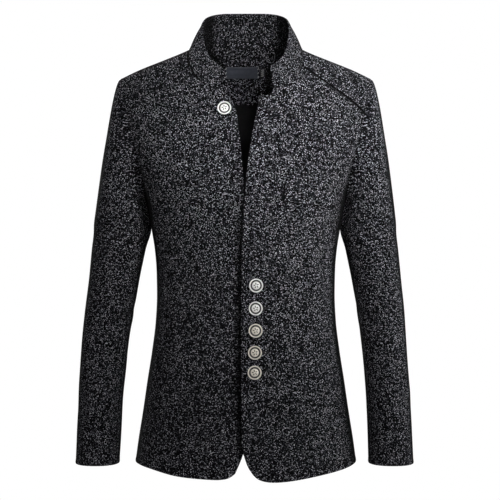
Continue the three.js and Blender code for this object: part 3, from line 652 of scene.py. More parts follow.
    def armhole_frame(self, side: Side, step: np.ndarray) -> tuple[np.ndarray, np.ndarray]:
        """The armhole seam's outward directions and the way towards the sleeve.

        Args:
            side: The armhole's side.
            step: Steps round it.

        Returns:
            Two arrays of directions.
        """
        tangent = self.armhole_spot(side, step + 0.25) - self.armhole_spot(side, step - 0.25)
        angle = step / 6 * math.pi / 2
        sideways = side.value * self.shoulder_flare * (1 + np.cos(angle))
        normal = unit(stack(sideways, -np.sin(angle), np.cos(angle)))
        to_sleeve = unit(np.cross(tangent, normal))
        flip = np.where(to_sleeve[..., 0] * side.value < 0, -1.0, 1.0)
        return normal, to_sleeve * flip[..., None]

    def collar_seam(self, side: Side, step: np.ndarray) -> np.ndarray:
        """Points of the collar seam: step 0 is the centre back and 10 the collar's end."""
        x, z = self.seam_x(step) * side.value, self.seam_z(step)
        behind = (step <= SIDE_NECK)[..., None]
        return np.where(behind, self.point(Face.BACK, x, z), self.point(Face.FRONT, x, z))

    def collar_top(self, side: Side, step: np.ndarray) -> np.ndarray:
        """Points of the collar's top edge."""
        share = (step - LEFT_SHIFT_START) / (COLLAR_END - LEFT_SHIFT_START)
        shift = smooth(share) if side is Side.LEFT else np.zeros_like(step)
        x, y, z = (track(step) + shift * more for track, more in zip(self.top, LEFT_END_SHIFT))
        return stack(side.value * x, y, z)

    def collar_line(self, side: Side, step: np.ndarray) -> np.ndarray:
        """How dark the painted shade along the collar seam is: faint on the left front, and fading
        on the right.
        """
        behind = 1 - smooth((step - SIDE_NECK + 0.5) / 0.8)
        front = self.collar_dark[side]
        if side is Side.RIGHT:
            front = front * (1 - smooth((step - self.collar_fade) / 1.5))
        return self.collar_back_dark * behind + front * (1 - behind)

    def armhole_line(self, step: np.ndarray) -> np.ndarray:
        """How dark the painted shade along the armhole seam is: faint at the shoulder, and more
        under the arm.
        """
        k = np.mod(step, ARMHOLE_TURN)
        k = np.where(k > ARMHOLE_TURN - 2, 0.0, k)
        faint, more = self.armhole_dark
        return faint + more * smooth((k - YOKE_ROWS) / 4.0)

    def armhole_border(self, side: Side, step: np.ndarray) -> "Border":
        """The edge of a panel or sleeve at the armhole seam."""
        return Border.seam(self.armhole_frame(side, step)[0], line=self.armhole_line(step))

    def collar_frame(self, side: Side, step: np.ndarray) -> np.ndarray:
        """Outward directions shared by the collar and the body at their seam."""
        here = np.clip(step, 0.05, COLLAR_END - 0.05)
        tangent = self.collar_seam(side, here + 0.05) - self.collar_seam(side, here - 0.05)
        up = unit(self.collar_top(side, step) - self.collar_seam(side, step))
        standing = unit(np.cross(unit(tangent), up)) * -side.value
        x, z = self.seam_x(here) * side.value, self.seam_z(here)
        behind = (step <= SIDE_NECK)[..., None]
        lying = np.where(behind, self.normal(Face.BACK, x, z), self.normal(Face.FRONT, x, z))
        normal = unit(standing + lying)
        normal[step == 0, 0] = 0.0
        return unit(normal)


@dataclass
class Border:
    """How a cloth shell ends along one edge, point by point.

    sewn is 1 at a seam and 0 at a folded edge, and normals are the seam's own outward
    directions. still is 1 where creases fade out, and line is how dark the painted shade
    along the seam is, with more than 1 for a wider line.
    """

    sewn: np.ndarray
    normals: np.ndarray
    still: np.ndarray
    line: np.ndarray

    @classmethod
    def folded(cls, count: int) -> "Border":
        """A folded edge."""
        return cls(np.zeros(count), np.zeros((count, 3)), np.zeros(count), np.zeros(count))

    @classmethod
    def seam(
        cls, normals: np.ndarray, still: bool = True, line: np.ndarray | float = 0.6
    ) -> "Border":
        """A seam.

        Args:
            normals: Its outward directions.
            still: Whether creases fade out at it.
            line: How dark the painted shade along it is.

        Returns:
            The border.
        """
        count = len(normals)
        return cls(np.ones(count), normals, np.full(count, float(still)), line + np.zeros(count))

    def then(self, other: "Border") -> "Border":
        """This edge, carried on by another."""
        names = ("sewn", "normals", "still", "line")
        pairs = ((getattr(self, name), getattr(other, name)) for name in names)
        return Border(*(np.concatenate(pair) for pair in pairs))


@dataclass
class Flat:
    """What a piece was cut to before it was sewn: its box in metres and the share it fills."""

    width: float
    length: float
    share: float


@dataclass
class ClothShell:
    """A wall of cloth with rounded folds and sunk seams, made from a grid of outer points.

    The shadow fields hold painted shade on the outer and on the inner face, where another
    piece stands before them. facing is how far the outer cloth is turned in at a free edge.
    """

    name: str
    outer: np.ndarray
    inside: np.ndarray
    borders: dict[str, Border]
    cloth: np.ndarray
    thickness: float = CLOTH
    lift: np.ndarray | None = None
    edge_roll: float = 0.5
    seam_width: float = SEAM_WIDTH
    crease_fade: float = CREASE_FADE
    shadow: np.ndarray | None = None
    dusk: np.ndarray | None = None
    facing: dict[str, float] = field(default_factory=dict)

    def distances(self, points: np.ndarray) -> dict[str, np.ndarray]:
        """How far each point lies from each of the four edges."""
        across = np.linalg.norm(np.diff(points, axis=1), axis=-1)
        down = np.linalg.norm(np.diff(points, axis=0), axis=-1)
        first = np.concatenate([np.zeros((len(points), 1)), np.cumsum(across, axis=1)], axis=1)
        top = np.concatenate([np.zeros((1, points.shape[1])), np.cumsum(down, axis=0)])
        return {"first": first, "last": first[:, -1:] - first, "top": top, "bottom": top[-1:] - top}

    def grid_normals(self, points: np.ndarray) -> np.ndarray:
        """Outward directions of a grid of points."""
        normals = unit(np.cross(np.gradient(points, axis=1), np.gradient(points, axis=0)))
        facing = np.sum(normals * unit(points - self.inside))
        return normals * np.sign(facing)

    @staticmethod
    def spread(name: str, values: np.ndarray) -> np.ndarray:
        """Values of one edge, shaped to run across the whole grid."""
        return values[None] if name in ("top", "bottom") else values[:, None]

    def seam_lines(self, away: dict[str, np.ndarray]) -> tuple[np.ndarray, np.ndarray]:
        """The painted shade line along each seam.

        Args:
            away: Distances from the four edges.

        Returns:
            How far inside a painted shade line each point is, from 0 at its outer edge, and how
            dark it is.
        """
        inside = np.full(self.outer.shape[:2], -4.0)
        dark = np.zeros(self.outer.shape[:2])
        for name, border in self.borders.items():
            line = self.spread(name, border.line)
            depth = (SEAM_SHADE * np.maximum(line, 1) - away[name]) / SEAM_SHADE_EDGE
            deeper = (self.spread(name, border.sewn) > 0.5) & (depth > inside)
            inside = np.where(deeper, depth, inside)
            dark = np.where(deeper, np.minimum(line, 1), dark)
        return inside, dark

    def skins(self) -> tuple[np.ndarray, np.ndarray, dict[str, np.ndarray]]:
        """The outer and inner points, with the distances from the edges."""
        outer = self.outer
        normals = self.grid_normals(outer)
        away = self.distances(outer)
        if self.lift is not None:
            still = np.ones(outer.shape[:2])
            for name, border in self.borders.items():
                held = self.spread(name, border.still)
                still = still * (1 - held * (1 - smooth(away[name] / self.crease_fade)))
            outer = outer + normals * (self.lift * still)[..., None]
            normals = self.grid_normals(outer)
        drop = rise = roll = np.zeros(outer.shape[:2])
        half = self.thickness / 2
        thin = half - LEAST_EDGE
        sunk = min(SEAM_DEPTH, self.thickness - LEAST_CLOTH)
        for name, border in self.borders.items():
            sewn = self.spread(name, border.sewn)
            far = away[name]
            weight = (sewn * bell(far, SEAM_BLEND))[..., None]
            normals = unit(normals * (1 - weight) + self.spread(name, border.normals) * weight)
            groove = sunk * self.quarter_round(far, self.seam_width)
            fold = half * self.quarter_round(far, half)
            drop = np.maximum(drop, sewn * groove + (1 - sewn) * fold)
            rise = np.maximum(rise, (1 - sewn) * fold)
            roll = np.maximum(roll, (1 - sewn) * bell(far - ROLL_IN, ROLL_WIDTH))
        inner = outer - normals * (self.thickness - np.minimum(rise, thin))[..., None]
        height = roll * self.edge_roll - np.where(rise > 0, np.minimum(drop, thin), drop)
        return outer + normals * height[..., None], inner, away

    @staticmethod
    def quarter_round(far: np.ndarray, width: float) -> np.ndarray:
        """The share of its depth that a rounded edge has at a distance from it."""
        left = np.clip(1 - far / width, 0.0, 1.0)
        return 1 - np.sqrt(1 - left**2)

    def build(self, materials: Sequence[bpy.types.Material]) -> bpy.types.Object:
        """Makes the piece.

        Args:
            materials: The cloth's material and, where the wall has one, the lining's.

        Returns:
            The piece, which rides on the body.
        """
        outer, inner, away = self.skins()
        rows, columns = outer.shape[:2]
        index = np.arange(rows * columns).reshape(rows, columns)
        under = index + rows * columns
        quads = np.stack([index[:-1, :-1], index[:-1, 1:], index[1:, 1:], index[1:, :-1]], -1)
        lined = np.stack([under[:-1, :-1], under[1:, :-1], under[1:, 1:], under[:-1, 1:]], -1)
        rim = np.concatenate([index[0], index[1:, -1], index[-1, -2::-1], index[-2:0:-1, 0]])
        after = np.roll(rim, -1)
        gap = rows * columns
        rims = np.stack([after, rim, rim + gap, after + gap], -1)
        faces = np.concatenate([quads.reshape(-1, 4), lined.reshape(-1, 4), rims])
        points = np.concatenate([outer.reshape(-1, 3), inner.reshape(-1, 3)])
        if not self.faces_outwards(outer, index, points):
            faces = faces[:, ::-1]
        slots = np.zeros(len(faces), np.int32)
        if len(materials) > 1:
            slots[quads.size // 4 : quads.size // 2] = self.lining_cells(away).ravel()
        made = new_mesh(self.name, points * MM, faces, materials, slots)
        doubled = np.concatenate([self.cloth.reshape(-1, 3)] * 2) * MM
        add_attribute(made.data, "cloth", "FLOAT_VECTOR", doubled)
        # Painted shade along the seams, and painted shadow on both faces, stored for the material
        inside, dark = self.seam_lines(away)
        none = np.zeros(dark.size)
        add_attribute(made.data, "seam_depth", "FLOAT", np.concatenate([inside.ravel(), none]))
        add_attribute(made.data, "seam_line", "FLOAT", np.concatenate([dark.ravel(), none]))
        shadow = [none if part is None else part.ravel() for part in (self.shadow, self.dusk)]
        add_attribute(made.data, "shadow", "FLOAT", np.concatenate(shadow))
        return made

    def faces_outwards(self, outer: np.ndarray, index: np.ndarray, points: np.ndarray) -> bool:
        """Whether the grid's own order of corners turns its faces outwards."""
        a, b, c = points[index[:-1, :-1]], points[index[:-1, 1:]], points[index[1:, 1:]]
        inside = np.broadcast_to(self.inside, outer.shape)[:-1, :-1]
        return float(np.sum(np.cross(b - a, c - a) * unit(a - inside))) > 0

    def lining_cells(self, away: dict[str, np.ndarray]) -> np.ndarray:
        """1 for each cell of the inner face that is lining, and 0 where it is turned cloth."""
        lining = np.ones(self.outer.shape[:2])
        for name, width in self.facing.items():
            free = 1 - self.spread(name, self.borders[name].sewn)
            lining = lining * np.where((away[name] < width) & (free > 0.5), 0.0, 1.0)
        return lining[:-1, :-1].astype(np.int32)


def linked(name: str, data: bpy.types.ID) -> bpy.types.Object:
    """An object of the scene, made from its data."""
    made = bpy.data.objects.new(name, data)
    bpy.context.scene.collection.objects.link(made)
    return made


def plain_mesh(
    name: str,
    points: np.ndarray,
    faces: list,
    materials: Sequence[bpy.types.Material],
) -> bpy.types.Mesh:
    """A mesh from its points, its faces' corners and its materials."""
    mesh = bpy.data.meshes.new(name)
    mesh.from_pydata(points.tolist(), [], faces)
    for material in materials:
        mesh.materials.append(material)
    return mesh


def dress(
    shell: ClothShell,
    materials: Sequence[bpy.types.Material],
    node: str,
) -> bpy.types.Object:
    """Makes a wall in the place of its solid, which it hides.

    Args:
        shell: The wall.
        materials: Its cloth and, where it has one, its lining.
        node: The solid's node.

    Returns:
        The piece.
    """
    piece = shell.build(materials)
    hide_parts(node)
    return piece


def new_mesh(
    name: str,
    points: np.ndarray,
    faces: np.ndarray | Sequence[Sequence[int]],
    materials: Sequence[bpy.types.Material],
    slots: np.ndarray | None = None,
) -> bpy.types.Object:
    """Makes a smooth-shaded piece on the body.

    Args:
        name: The piece's name.
        points: Its points in metres.
        faces: Its faces' corners.
        materials: Its materials.
        slots: Each face's material, or None for the first.

    Returns:
        The piece.
    """
    corners = faces.tolist() if isinstance(faces, np.ndarray) else faces
    mesh = plain_mesh(name, points, corners, materials)
    mesh.polygons.foreach_set("use_smooth", np.ones(len(mesh.polygons), bool))
    if slots is not None:
        mesh.polygons.foreach_set("material_index", slots)
    mesh.update()
    piece = linked(name, mesh)
    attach(piece, BODY)
    return piece


def add_attribute(mesh: bpy.types.Mesh, name: str, kind: str, values: np.ndarray) -> None:
    """Stores one value or vector for each point of a mesh."""
    attribute = mesh.attributes.new(name, kind, "POINT")
    key = "vector" if kind == "FLOAT_VECTOR" else "value"
    attribute.data.foreach_set(key, np.asarray(values, np.float32).ravel())


class Wire:
    """One value in a material's nodes, so that shader maths is written as an expression."""

    def __init__(self, shader: "Shader", socket: bpy.types.NodeSocket) -> None:
        """Wraps a socket that gives a value."""
        self.shader = shader
        self.socket = socket

    def maths(self, operation: str, *values: "Wire | float") -> "Wire":
        """A Math node's result for the given values."""
        node = self.shader.node("ShaderNodeMath", {"operation": operation}, dict(enumerate(values)))
        return Wire(self.shader, node.outputs[0])

    def __add__(self, other: "Wire | float") -> "Wire":
        """The sum."""
        return self.maths("ADD", self, other)

    def __radd__(self, other: float) -> "Wire":
        """The sum with a number first."""
        return self.maths("ADD", other, self)

    def __sub__(self, other: "Wire | float") -> "Wire":
        """The difference."""
        return self.maths("SUBTRACT", self, other)

    def __rsub__(self, other: float) -> "Wire":
        """The difference from a number."""
        return self.maths("SUBTRACT", other, self)

    def __mul__(self, other: "Wire | float") -> "Wire":
        """The product."""
        return self.maths("MULTIPLY", self, other)

    def __rmul__(self, other: float) -> "Wire":
        """The product with a number first."""
        return self.maths("MULTIPLY", other, self)

    def __pow__(self, power: float) -> "Wire":
        """The value raised to a power."""
        return self.maths("POWER", self, power)

    def clamped(self) -> "Wire":
        """The value kept from 0 to 1."""
        return self.maths("MINIMUM", self.maths("MAXIMUM", self, 0.0), 1.0)

    def wave(self) -> "Wire":
        """The sine."""
        return self.maths("SINE", self)


class Shader:
    """A material and its nodes."""

    def __init__(self, name: str) -> None:
        """Makes an empty material."""
        self.material = bpy.data.materials.new(name)
        self.material.use_nodes = True
        self.tree = self.material.node_tree
        self.tree.nodes.clear()

    def node(self, kind: str, settings: dict, values: dict | None = None) -> bpy.types.Node:
        """Adds a node.

        Args:
            kind: The node's type.
            settings: Its own settings; "stops" gives a ramp's places and colours.
            values: Numbers, colours or links for its inputs, by name or place.

        Returns:
            The node.
        """
        made = self.tree.nodes.new(kind)
        for key, value in settings.items():
            if key == "stops":
                self.set_stops(made.color_ramp, value)
            else:
                setattr(made, key, value)
        for key, value in (values or {}).items():
            self.feed(made.inputs[key], value)
        return made

    def feed(self, target: bpy.types.NodeSocket, value: object) -> None:
        """Links or sets an input."""
        if isinstance(value, Wire):
            self.tree.links.new(value.socket, target)
        elif isinstance(value, bpy.types.NodeSocket):
            self.tree.links.new(value, target)
        else:
            target.default_value = value

    @staticmethod
    def set_stops(ramp: bpy.types.ColorRamp, stops: Sequence[tuple]) -> None:
        """Gives a ramp its places and colours."""
        while len(ramp.elements) < len(stops):
            ramp.elements.new(1.0)
        for element, (place, colour) in zip(ramp.elements, stops):
            element.position = place
            element.color = (*colour, 1.0)

    def value(self, node: bpy.types.Node, output: str | int = 0) -> Wire:
        """One of a node's outputs as a value."""
        return Wire(self, node.outputs[output])

    def stored(self, name: str, output: str = "Fac") -> Wire:
        """What a mesh stores for its points under a name."""
        settings = {"attribute_name": name, "attribute_type": "GEOMETRY"}
        return self.value(self.node("ShaderNodeAttribute", settings), output)

    def cloth(self) -> tuple[bpy.types.NodeSocket, Wire, Wire]:
        """Places on the cloth, whole and as their first two numbers."""
        place = self.stored("cloth", "Vector").socket
        axes = self.node("ShaderNodeSeparateXYZ", {}, {0: place})
        return place, self.value(axes, 0), self.value(axes, 1)

    def scaled(self, vector: bpy.types.NodeSocket, by: Sequence[float]) -> bpy.types.NodeSocket:
        """A vector times another."""
        node = self.node("ShaderNodeVectorMath", {"operation": "MULTIPLY"}, {0: vector, 1: by})
        return node.outputs[0]

    def noise(self, vector: bpy.types.NodeSocket, scale: float, detail: float = 2.0) -> Wire:
        """Soft noise from 0 to 1."""
        values = {"Vector": vector, "Scale": scale, "Detail": detail}
        return self.value(self.node("ShaderNodeTexNoise", {}, values), 0)

    def mixed(self, share: Wire | float, first: object, second: object) -> bpy.types.NodeSocket:
        """A mix of two colours."""
        settings = {"data_type": "RGBA"}
        node = self.node("ShaderNodeMix", settings, {0: share, 6: first, 7: second})
        return node.outputs[2]

    def coated(self, relief: tuple[float, float, Wire], values: dict) -> bpy.types.Material:
        """Ends the material with a surface in low relief.

        Args:
            relief: The relief's strength, its depth and its height.
            values: The surface's other inputs.

        Returns:
            The material.
        """
        names = ("Strength", "Distance", "Height")
        bump = self.node("ShaderNodeBump", {}, dict(zip(names, relief)))
        values = {**values, "Normal": bump.outputs[0]}
        return self.finish(self.node("ShaderNodeBsdfPrincipled", {}, values).outputs[0])

    def finish(self, surface: bpy.types.NodeSocket) -> bpy.types.Material:
        """Links the surface to the output."""
        self.node("ShaderNodeOutputMaterial", {}, {"Surface": surface})
        return self.material


def grey(level: float, blue: float = 1.0) -> tuple[float, float, float]:
    """A grey with a little more or less blue."""
    return (level, level, level * blue)


@dataclass(frozen=True)
class Tweed:
    """Black and grey melange wool: dark yarns with light flecks lying both ways of the weave."""

    fleck: float = 0.00125
    yarn: float = 0.0013
    cloud: float = 0.014
    blue: float = 1.2
    seam_dark: float = 0.97
    bump: float = 0.5
    depth: float = 0.0007
    ground: float = 0.045
    # Painted shade where the cloth turns edge-on to the view
    rim_start: float = 0.6
    rim_width: float = 0.18
    rim_dark: float = 0.95
    weft: float = 1.6
    warp: float = 1.35
    weave: float = 0.05
    patches: float = 0.12
    slub: float = 4.5
    greys: tuple[tuple[float, float], ...] = (
        (0.0, 0.001),
        (0.2, 0.0045),
        (0.45, 0.04),
        (0.75, 0.24),
    )
    brightest: tuple[float, float] = (0.7, 1.06)
    shade: tuple[float, float, float, float] = (0.0012, 0.0012, 0.0013, 1.0)

    def flecks(self, s: Shader, place: bpy.types.NodeSocket, stretch: Sequence[float]) -> Wire:
        """Light slubs of one direction of the weave.

        Args:
            s: The material's nodes.
            place: Places on the cloth.
            stretch: How the cells are drawn out.

        Returns:
            The flecks' brightness, from 0 to about 1.
        """
        values = {"Vector": s.scaled(place, stretch), "Scale": 1 / self.fleck}
        cells = s.node("ShaderNodeTexVoronoi", {}, values)
        parts = s.node("ShaderNodeSeparateColor", {}, {"Color": cells.outputs["Color"]})
        dot = (1.25 - 1.7 * s.value(cells, "Distance")).clamped()
        return dot * s.value(parts, 0) ** self.slub

    def material(self, name: str) -> bpy.types.Material:
        """Makes the material.

        Args:
            name: The material's name.

        Returns:
            The material.
        """
        s = Shader(name)
        place, across, along_cloth = s.cloth()
        weft = self.flecks(s, place, (0.72, 1.12, 1.0))
        warp = self.flecks(s, s.scaled(place, (1.0, 1.0, 1.3)), (1.12, 0.72, 1.0))
        cloud = s.noise(place, 1 / self.cloud, 2.0)
        turn = 2 * math.pi / self.yarn
        over = (across * turn).wave() * (along_cloth * turn).wave()
        tone = self.ground + self.weft * weft + self.warp * warp
        tone = tone + self.weave * over + self.patches * (cloud - 0.5)
        stops = [(at, grey(level, self.blue)) for at, level in self.greys]
        stops.append((1.0, grey(*self.brightest)))
        ramp = s.node("ShaderNodeValToRGB", {"stops": stops}, {0: tone.clamped()})
        # Painted shade: the cloth darkens along seams, where another piece stands before it, and
        # where it turns edge-on
        sunk = s.stored("seam_depth").clamped() * self.seam_dark * s.stored("seam_line")
        shadow = s.stored("shadow")
        facing = s.value(s.node("ShaderNodeLayerWeight", {}, {"Blend": 0.5}), "Facing")
        rim = ((facing - self.rim_start) * (1 / self.rim_width)).clamped() * self.rim_dark
        light = (1 - sunk) * (1 - rim) * (1 - shadow)
        colour = s.mixed(light, self.shade, ramp.outputs[0])
        values = {
            "Base Color": colour,
            "Roughness": 0.95,
            "Specular IOR Level": 0.06,
            "Sheen Weight": 0.01,
            "Sheen Roughness": 0.5,
        }
        return s.coated((self.bump, self.depth, tone + 0.3 * over), values)


@dataclass(frozen=True)
class LiningCloth:
    """Smooth black lining with a fine twill line and a low sheen."""

    level: float = 0.0035
    line: float = 0.0009
    cloud: float = 1 / 35
    tones: tuple[tuple[float, float], ...] = ((0.6, 1.05), (1.8, 1.15))

    def material(self, name: str) -> bpy.types.Material:
        """Makes the material."""
        s = Shader(name)
        place, across, along_cloth = s.cloth()
        twill = (2 * math.pi / self.line * (across + along_cloth)).wave()
        cloud = s.noise(place, 1 / self.cloud, 3.0)
        share = (0.35 + 0.25 * twill + 0.6 * (cloud - 0.5)).clamped()
        low, high = (grey(self.level * more, blue) for more, blue in self.tones)
        colour = s.mixed(share, (*low, 1.0), (*high, 1.0))
        values = {"Base Color": colour, "Roughness": 0.6, "Specular IOR Level": 0.06}
        return s.coated((0.25, 0.0003, twill), values)


@dataclass(frozen=True)
class LabelWeave:
    """Dark blue-grey satin ribbon with fine cross ribs and a paler woven edge."""

    rib: float = 0.0006
    low: float = 0.022
    high: float = 0.065

    def material(self, name: str) -> bpy.types.Material:
        """Makes the material."""
        s = Shader(name)
        place, across, _ = s.cloth()
        ribs = (across * (2 * math.pi / self.rib)).wave()
        cloud = s.noise(place, 180.0, 3.0)
        share = (0.4 + 0.2 * ribs + 0.9 * (cloud - 0.5)).clamped()
        low = (self.low, 1.15 * self.low, 1.6 * self.low, 1.0)
        colour = s.mixed(share, low, (self.high, 1.1 * self.high, 1.4 * self.high, 1.0))
        return s.coated((0.3, 0.0002, ribs), {"Base Color": colour, "Roughness": 0.42})


@dataclass(frozen=True)
class Pewter:
    """Pale polished pewter, dark in its hollows and channel, with painted shade on the outer flank,
    and slightly scratched.
    """

    bright: tuple[float, float, float] = (0.98, 0.975, 0.95)
    dark: tuple[float, float, float] = (0.025, 0.023, 0.02)

    def material(self, name: str) -> bpy.types.Material:
        """Makes the material."""
        s = Shader(name)
        wear = s.noise(s.stored("cloth", "Vector").socket, 900.0, 3.0)
        share = (s.stored("hollow") + 0.5 * (wear - 0.55)).clamped()
        colour = s.mixed(share, (*self.bright, 1.0), (*self.dark, 1.0))
        values = {"Base Color": colour, "Metallic": 0.15, "Roughness": 0.3 + 0.25 * share}
        return s.coated((0.12, 0.0002, wear), values)


@dataclass(frozen=True)
class Thread:
    """Twisted sewing thread."""

    colour: tuple[float, float, float]
    twist: float = 0.0008

    def material(self, name: str) -> bpy.types.Material:
        """Makes the material."""
        s = Shader(name)
        _, across, along_cloth = s.cloth()
        twist = ((across + along_cloth) * (2 * math.pi / self.twist)).wave()
        share = (0.5 + 0.4 * twist).clamped()
        dim = tuple(0.55 * c for c in self.colour)
        colour = s.mixed(share, (*dim, 1.0), (*self.colour, 1.0))
        return s.coated((0.4, 0.0002, twist), {"Base Color": colour, "Roughness": 0.7})


class Finishes:
    """The jacket's materials, each made once."""

    def __init__(self) -> None:
        """Makes them."""
        self.tweed = Tweed().material("melange_tweed")
        self.lining = LiningCloth().material("black_lining")
        self.lined = [self.tweed, self.lining]
        self.label = LabelWeave().material("label_satin")
        self.tab = LabelWeave(low=0.004, high=0.014).material("tab_satin")
        self.pewter = Pewter().material("pewter")
        self.warm_pewter = Pewter(bright=(0.9, 0.85, 0.76)).material("pewter_warm")
        self.black_thread = Thread((0.012, 0.012, 0.013)).material("black_thread")
        self.pale_thread = Thread((0.75, 0.75, 0.74)).material("pale_thread")


@dataclass
class Panel:
    """A panel of one side of the body."""

    form: BodyForm
    side: Side
    flat: Flat
    node = held = ""
    rests_on = ()

    def shell(self) -> ClothShell:
        """The panel's wall."""
        raise NotImplementedError

    def build(self, finishes: Finishes) -> bpy.types.Object:
        """Makes the panel in the place of its solid."""
        node, *rests = (name.format(self.side.word) for name in (self.node, *self.rests_on))
        return dress(self.shell(), finishes.lined, node)


@dataclass
class FrontPanel(Panel):
    """One front, with its shaped edge, rounded corner, facing and lining."""

    node, held = "front_{}", "hung"
    rests_on = ("yoke_{}", "collar")
    columns: int = 12
    lapel: int = 2
    notch: tuple[Spot, ...] = (Spot(35.0, -84.5), Spot(43.5, -80.3))
    fine_across: int = 5
    fine_down: int = 6
    spring_top_z: float = -120.0
    # The painted shadow beside the lapped edge: its darkness, width, widening lower down and top
    shade: float = 0.93
    shade_width: float = 6.0
    shade_spread: float = 9.0
    shade_top_z: float = -190.0

    def top_edge(self, j: np.ndarray) -> np.ndarray:
        """The top edge: the open corner, the collar seam and the yoke seam.

        Args:
            j: Columns, from the front edge to the armhole.

        Returns:
            A pair of x and z for each column.
        """
        end = Spot(COLLAR[COLLAR_END].x, COLLAR[COLLAR_END].z)
        bend = self.notch if self.side is Side.LEFT else ()
        corner = along([FRONT_CUT[self.side].upper[0], *bend, end], np.clip(j / self.lapel, 0, 1))
        step = np.clip(COLLAR_END - (j - self.lapel), YOKE_START, COLLAR_END)
        neck = self.form.collar_places(step)
        yoke = along(YOKE_SEAM, np.clip(j / YOKE_COLUMNS - 1, 0, 1))
        edge = np.where(j[:, None] <= self.lapel, corner, neck)
        return np.where(j[:, None] > YOKE_COLUMNS, yoke, edge)

    def grid(self, j: np.ndarray, up: np.ndarray, down: np.ndarray) -> np.ndarray:
        """Places of the panel as angle and height.

        Args:
            j: Columns.
            up: Rows above the chest line, from 0 to 8.
            down: Rows below it, from 0 to 16.

        Returns:
            Pairs in rows and columns.
        """
        cut, form = FRONT_CUT[self.side], self.form
        across = j / self.columns
        start = math.asin(cut.lower[0].x / float(form.half(CHEST_Z)))
        chest = np.stack([start + (math.pi / 2 - start) * across, CHEST_Z + 0 * j], -1)
        share = np.sin(up / CHEST_ROWS * math.pi / 2)
        edge = along(cut.upper, share)
        upper = patch(
            form.to_angle(edge),
            form.armhole_places(self.side, YOKE_ROWS + up),
            form.to_angle(self.top_edge(j)),
            chest,
            share,
            across,
        )
        share = down / HEM_ROWS
        edge = along(cut.lower, share)
        hem = along([*cut.hem, Spot(float(form.half(SIDE_HEM_Z)), SIDE_HEM_Z)], across)
        side = np.stack([0 * share + math.pi / 2, CHEST_Z + (SIDE_HEM_Z - CHEST_Z) * share], -1)
        lower = patch(
            form.to_angle(edge),
            side,
            chest,
            form.to_angle(hem),
            share,
            across,
        )
        return np.concatenate([upper, lower[1:]])

    def spring(self, x: np.ndarray, z: np.ndarray) -> np.ndarray:
        """How far the lapped edge springs away from the front under it."""
        if self.side is Side.RIGHT:
            return np.zeros(x.shape)
        near = bell(np.maximum(x + 7.0, 0.0), 9.0) * smooth((self.spring_top_z - z) / 60.0)
        return self.form.lap_lift * near

    def lap_shadow(self, x: np.ndarray, z: np.ndarray) -> np.ndarray:
        """Painted shadow on the right front beside the edge that laps over it."""
        if self.side is Side.LEFT:
            return np.zeros(x.shape)
        spots = FRONT_CUT[Side.LEFT].lower
        edge = np.interp(-z, [-spot.z for spot in spots], [spot.x for spot in spots])
        below = smooth((-200.0 - z) / 130.0)
        near = 1 - smooth((edge - x - 1.0) / (self.shade_width + self.shade_spread * below))
        return self.shade * near * smooth((self.shade_top_z - z) / 50.0)

    def shell(self) -> ClothShell:
        """The front's wall."""
        form, side = self.form, self.side
        j = refined(self.columns, self.fine_across)
        up = refined(CHEST_ROWS, self.fine_down)
        down = refined(HEM_ROWS, self.fine_down)
        x, z = form.from_angle(self.grid(j, up, down))
        x = x * side.value
        outer = form.front_point(side, x, z)
        free, sewn = j < self.lapel, j > YOKE_COLUMNS
        neck = ~free & ~sewn
        step = np.clip(COLLAR_END - (j[neck] - self.lapel), YOKE_START, COLLAR_END)
        seam = along(YOKE_SEAM, j[sewn] / YOKE_COLUMNS - 1)
        yoke = form.normal(Face.FRONT, side.value * seam[:, 0], seam[:, 1])
        collar = Border.seam(form.collar_frame(side, step), line=form.collar_line(side, step))
        top = Border.folded(int(free.sum())).then(collar)
        arm = form.armhole_border(side, YOKE_ROWS + up)
        side_z = CHEST_Z + (SIDE_HEM_Z - CHEST_Z) * down[1:] / HEM_ROWS
        return ClothShell(
            name=f"cloth_front_{side.word}",
            outer=outer,
            inside=core(outer),
            borders={
                "top": top.then(Border.seam(yoke, line=YOKE_SEAM_SHADE[side])),
                "bottom": Border.folded(len(j)),
                "first": Border.folded(len(x)),
                "last": arm.then(Border.seam(form.side_normal(side, side_z))),
            },
            cloth=stack(form.reach(Face.FRONT, x, z), -z, 40.0 * side.value),
            lift=form.lift(Face.FRONT, x, z) + self.spring(x, z),
            shadow=self.lap_shadow(x, z),
            facing={"first": FACING_WIDTH, "bottom": TURN_UP, "top": FACING_WIDTH},
        )


CORE_TOP_Z = -60.0
CORE_DROP = 30.0


def core(points: np.ndarray) -> np.ndarray:
    """Points deep inside the body, beside each given one."""
    return stack(0.0, SEAM_PLANE_Y, np.minimum(points[..., 2], CORE_TOP_Z) - CORE_DROP)


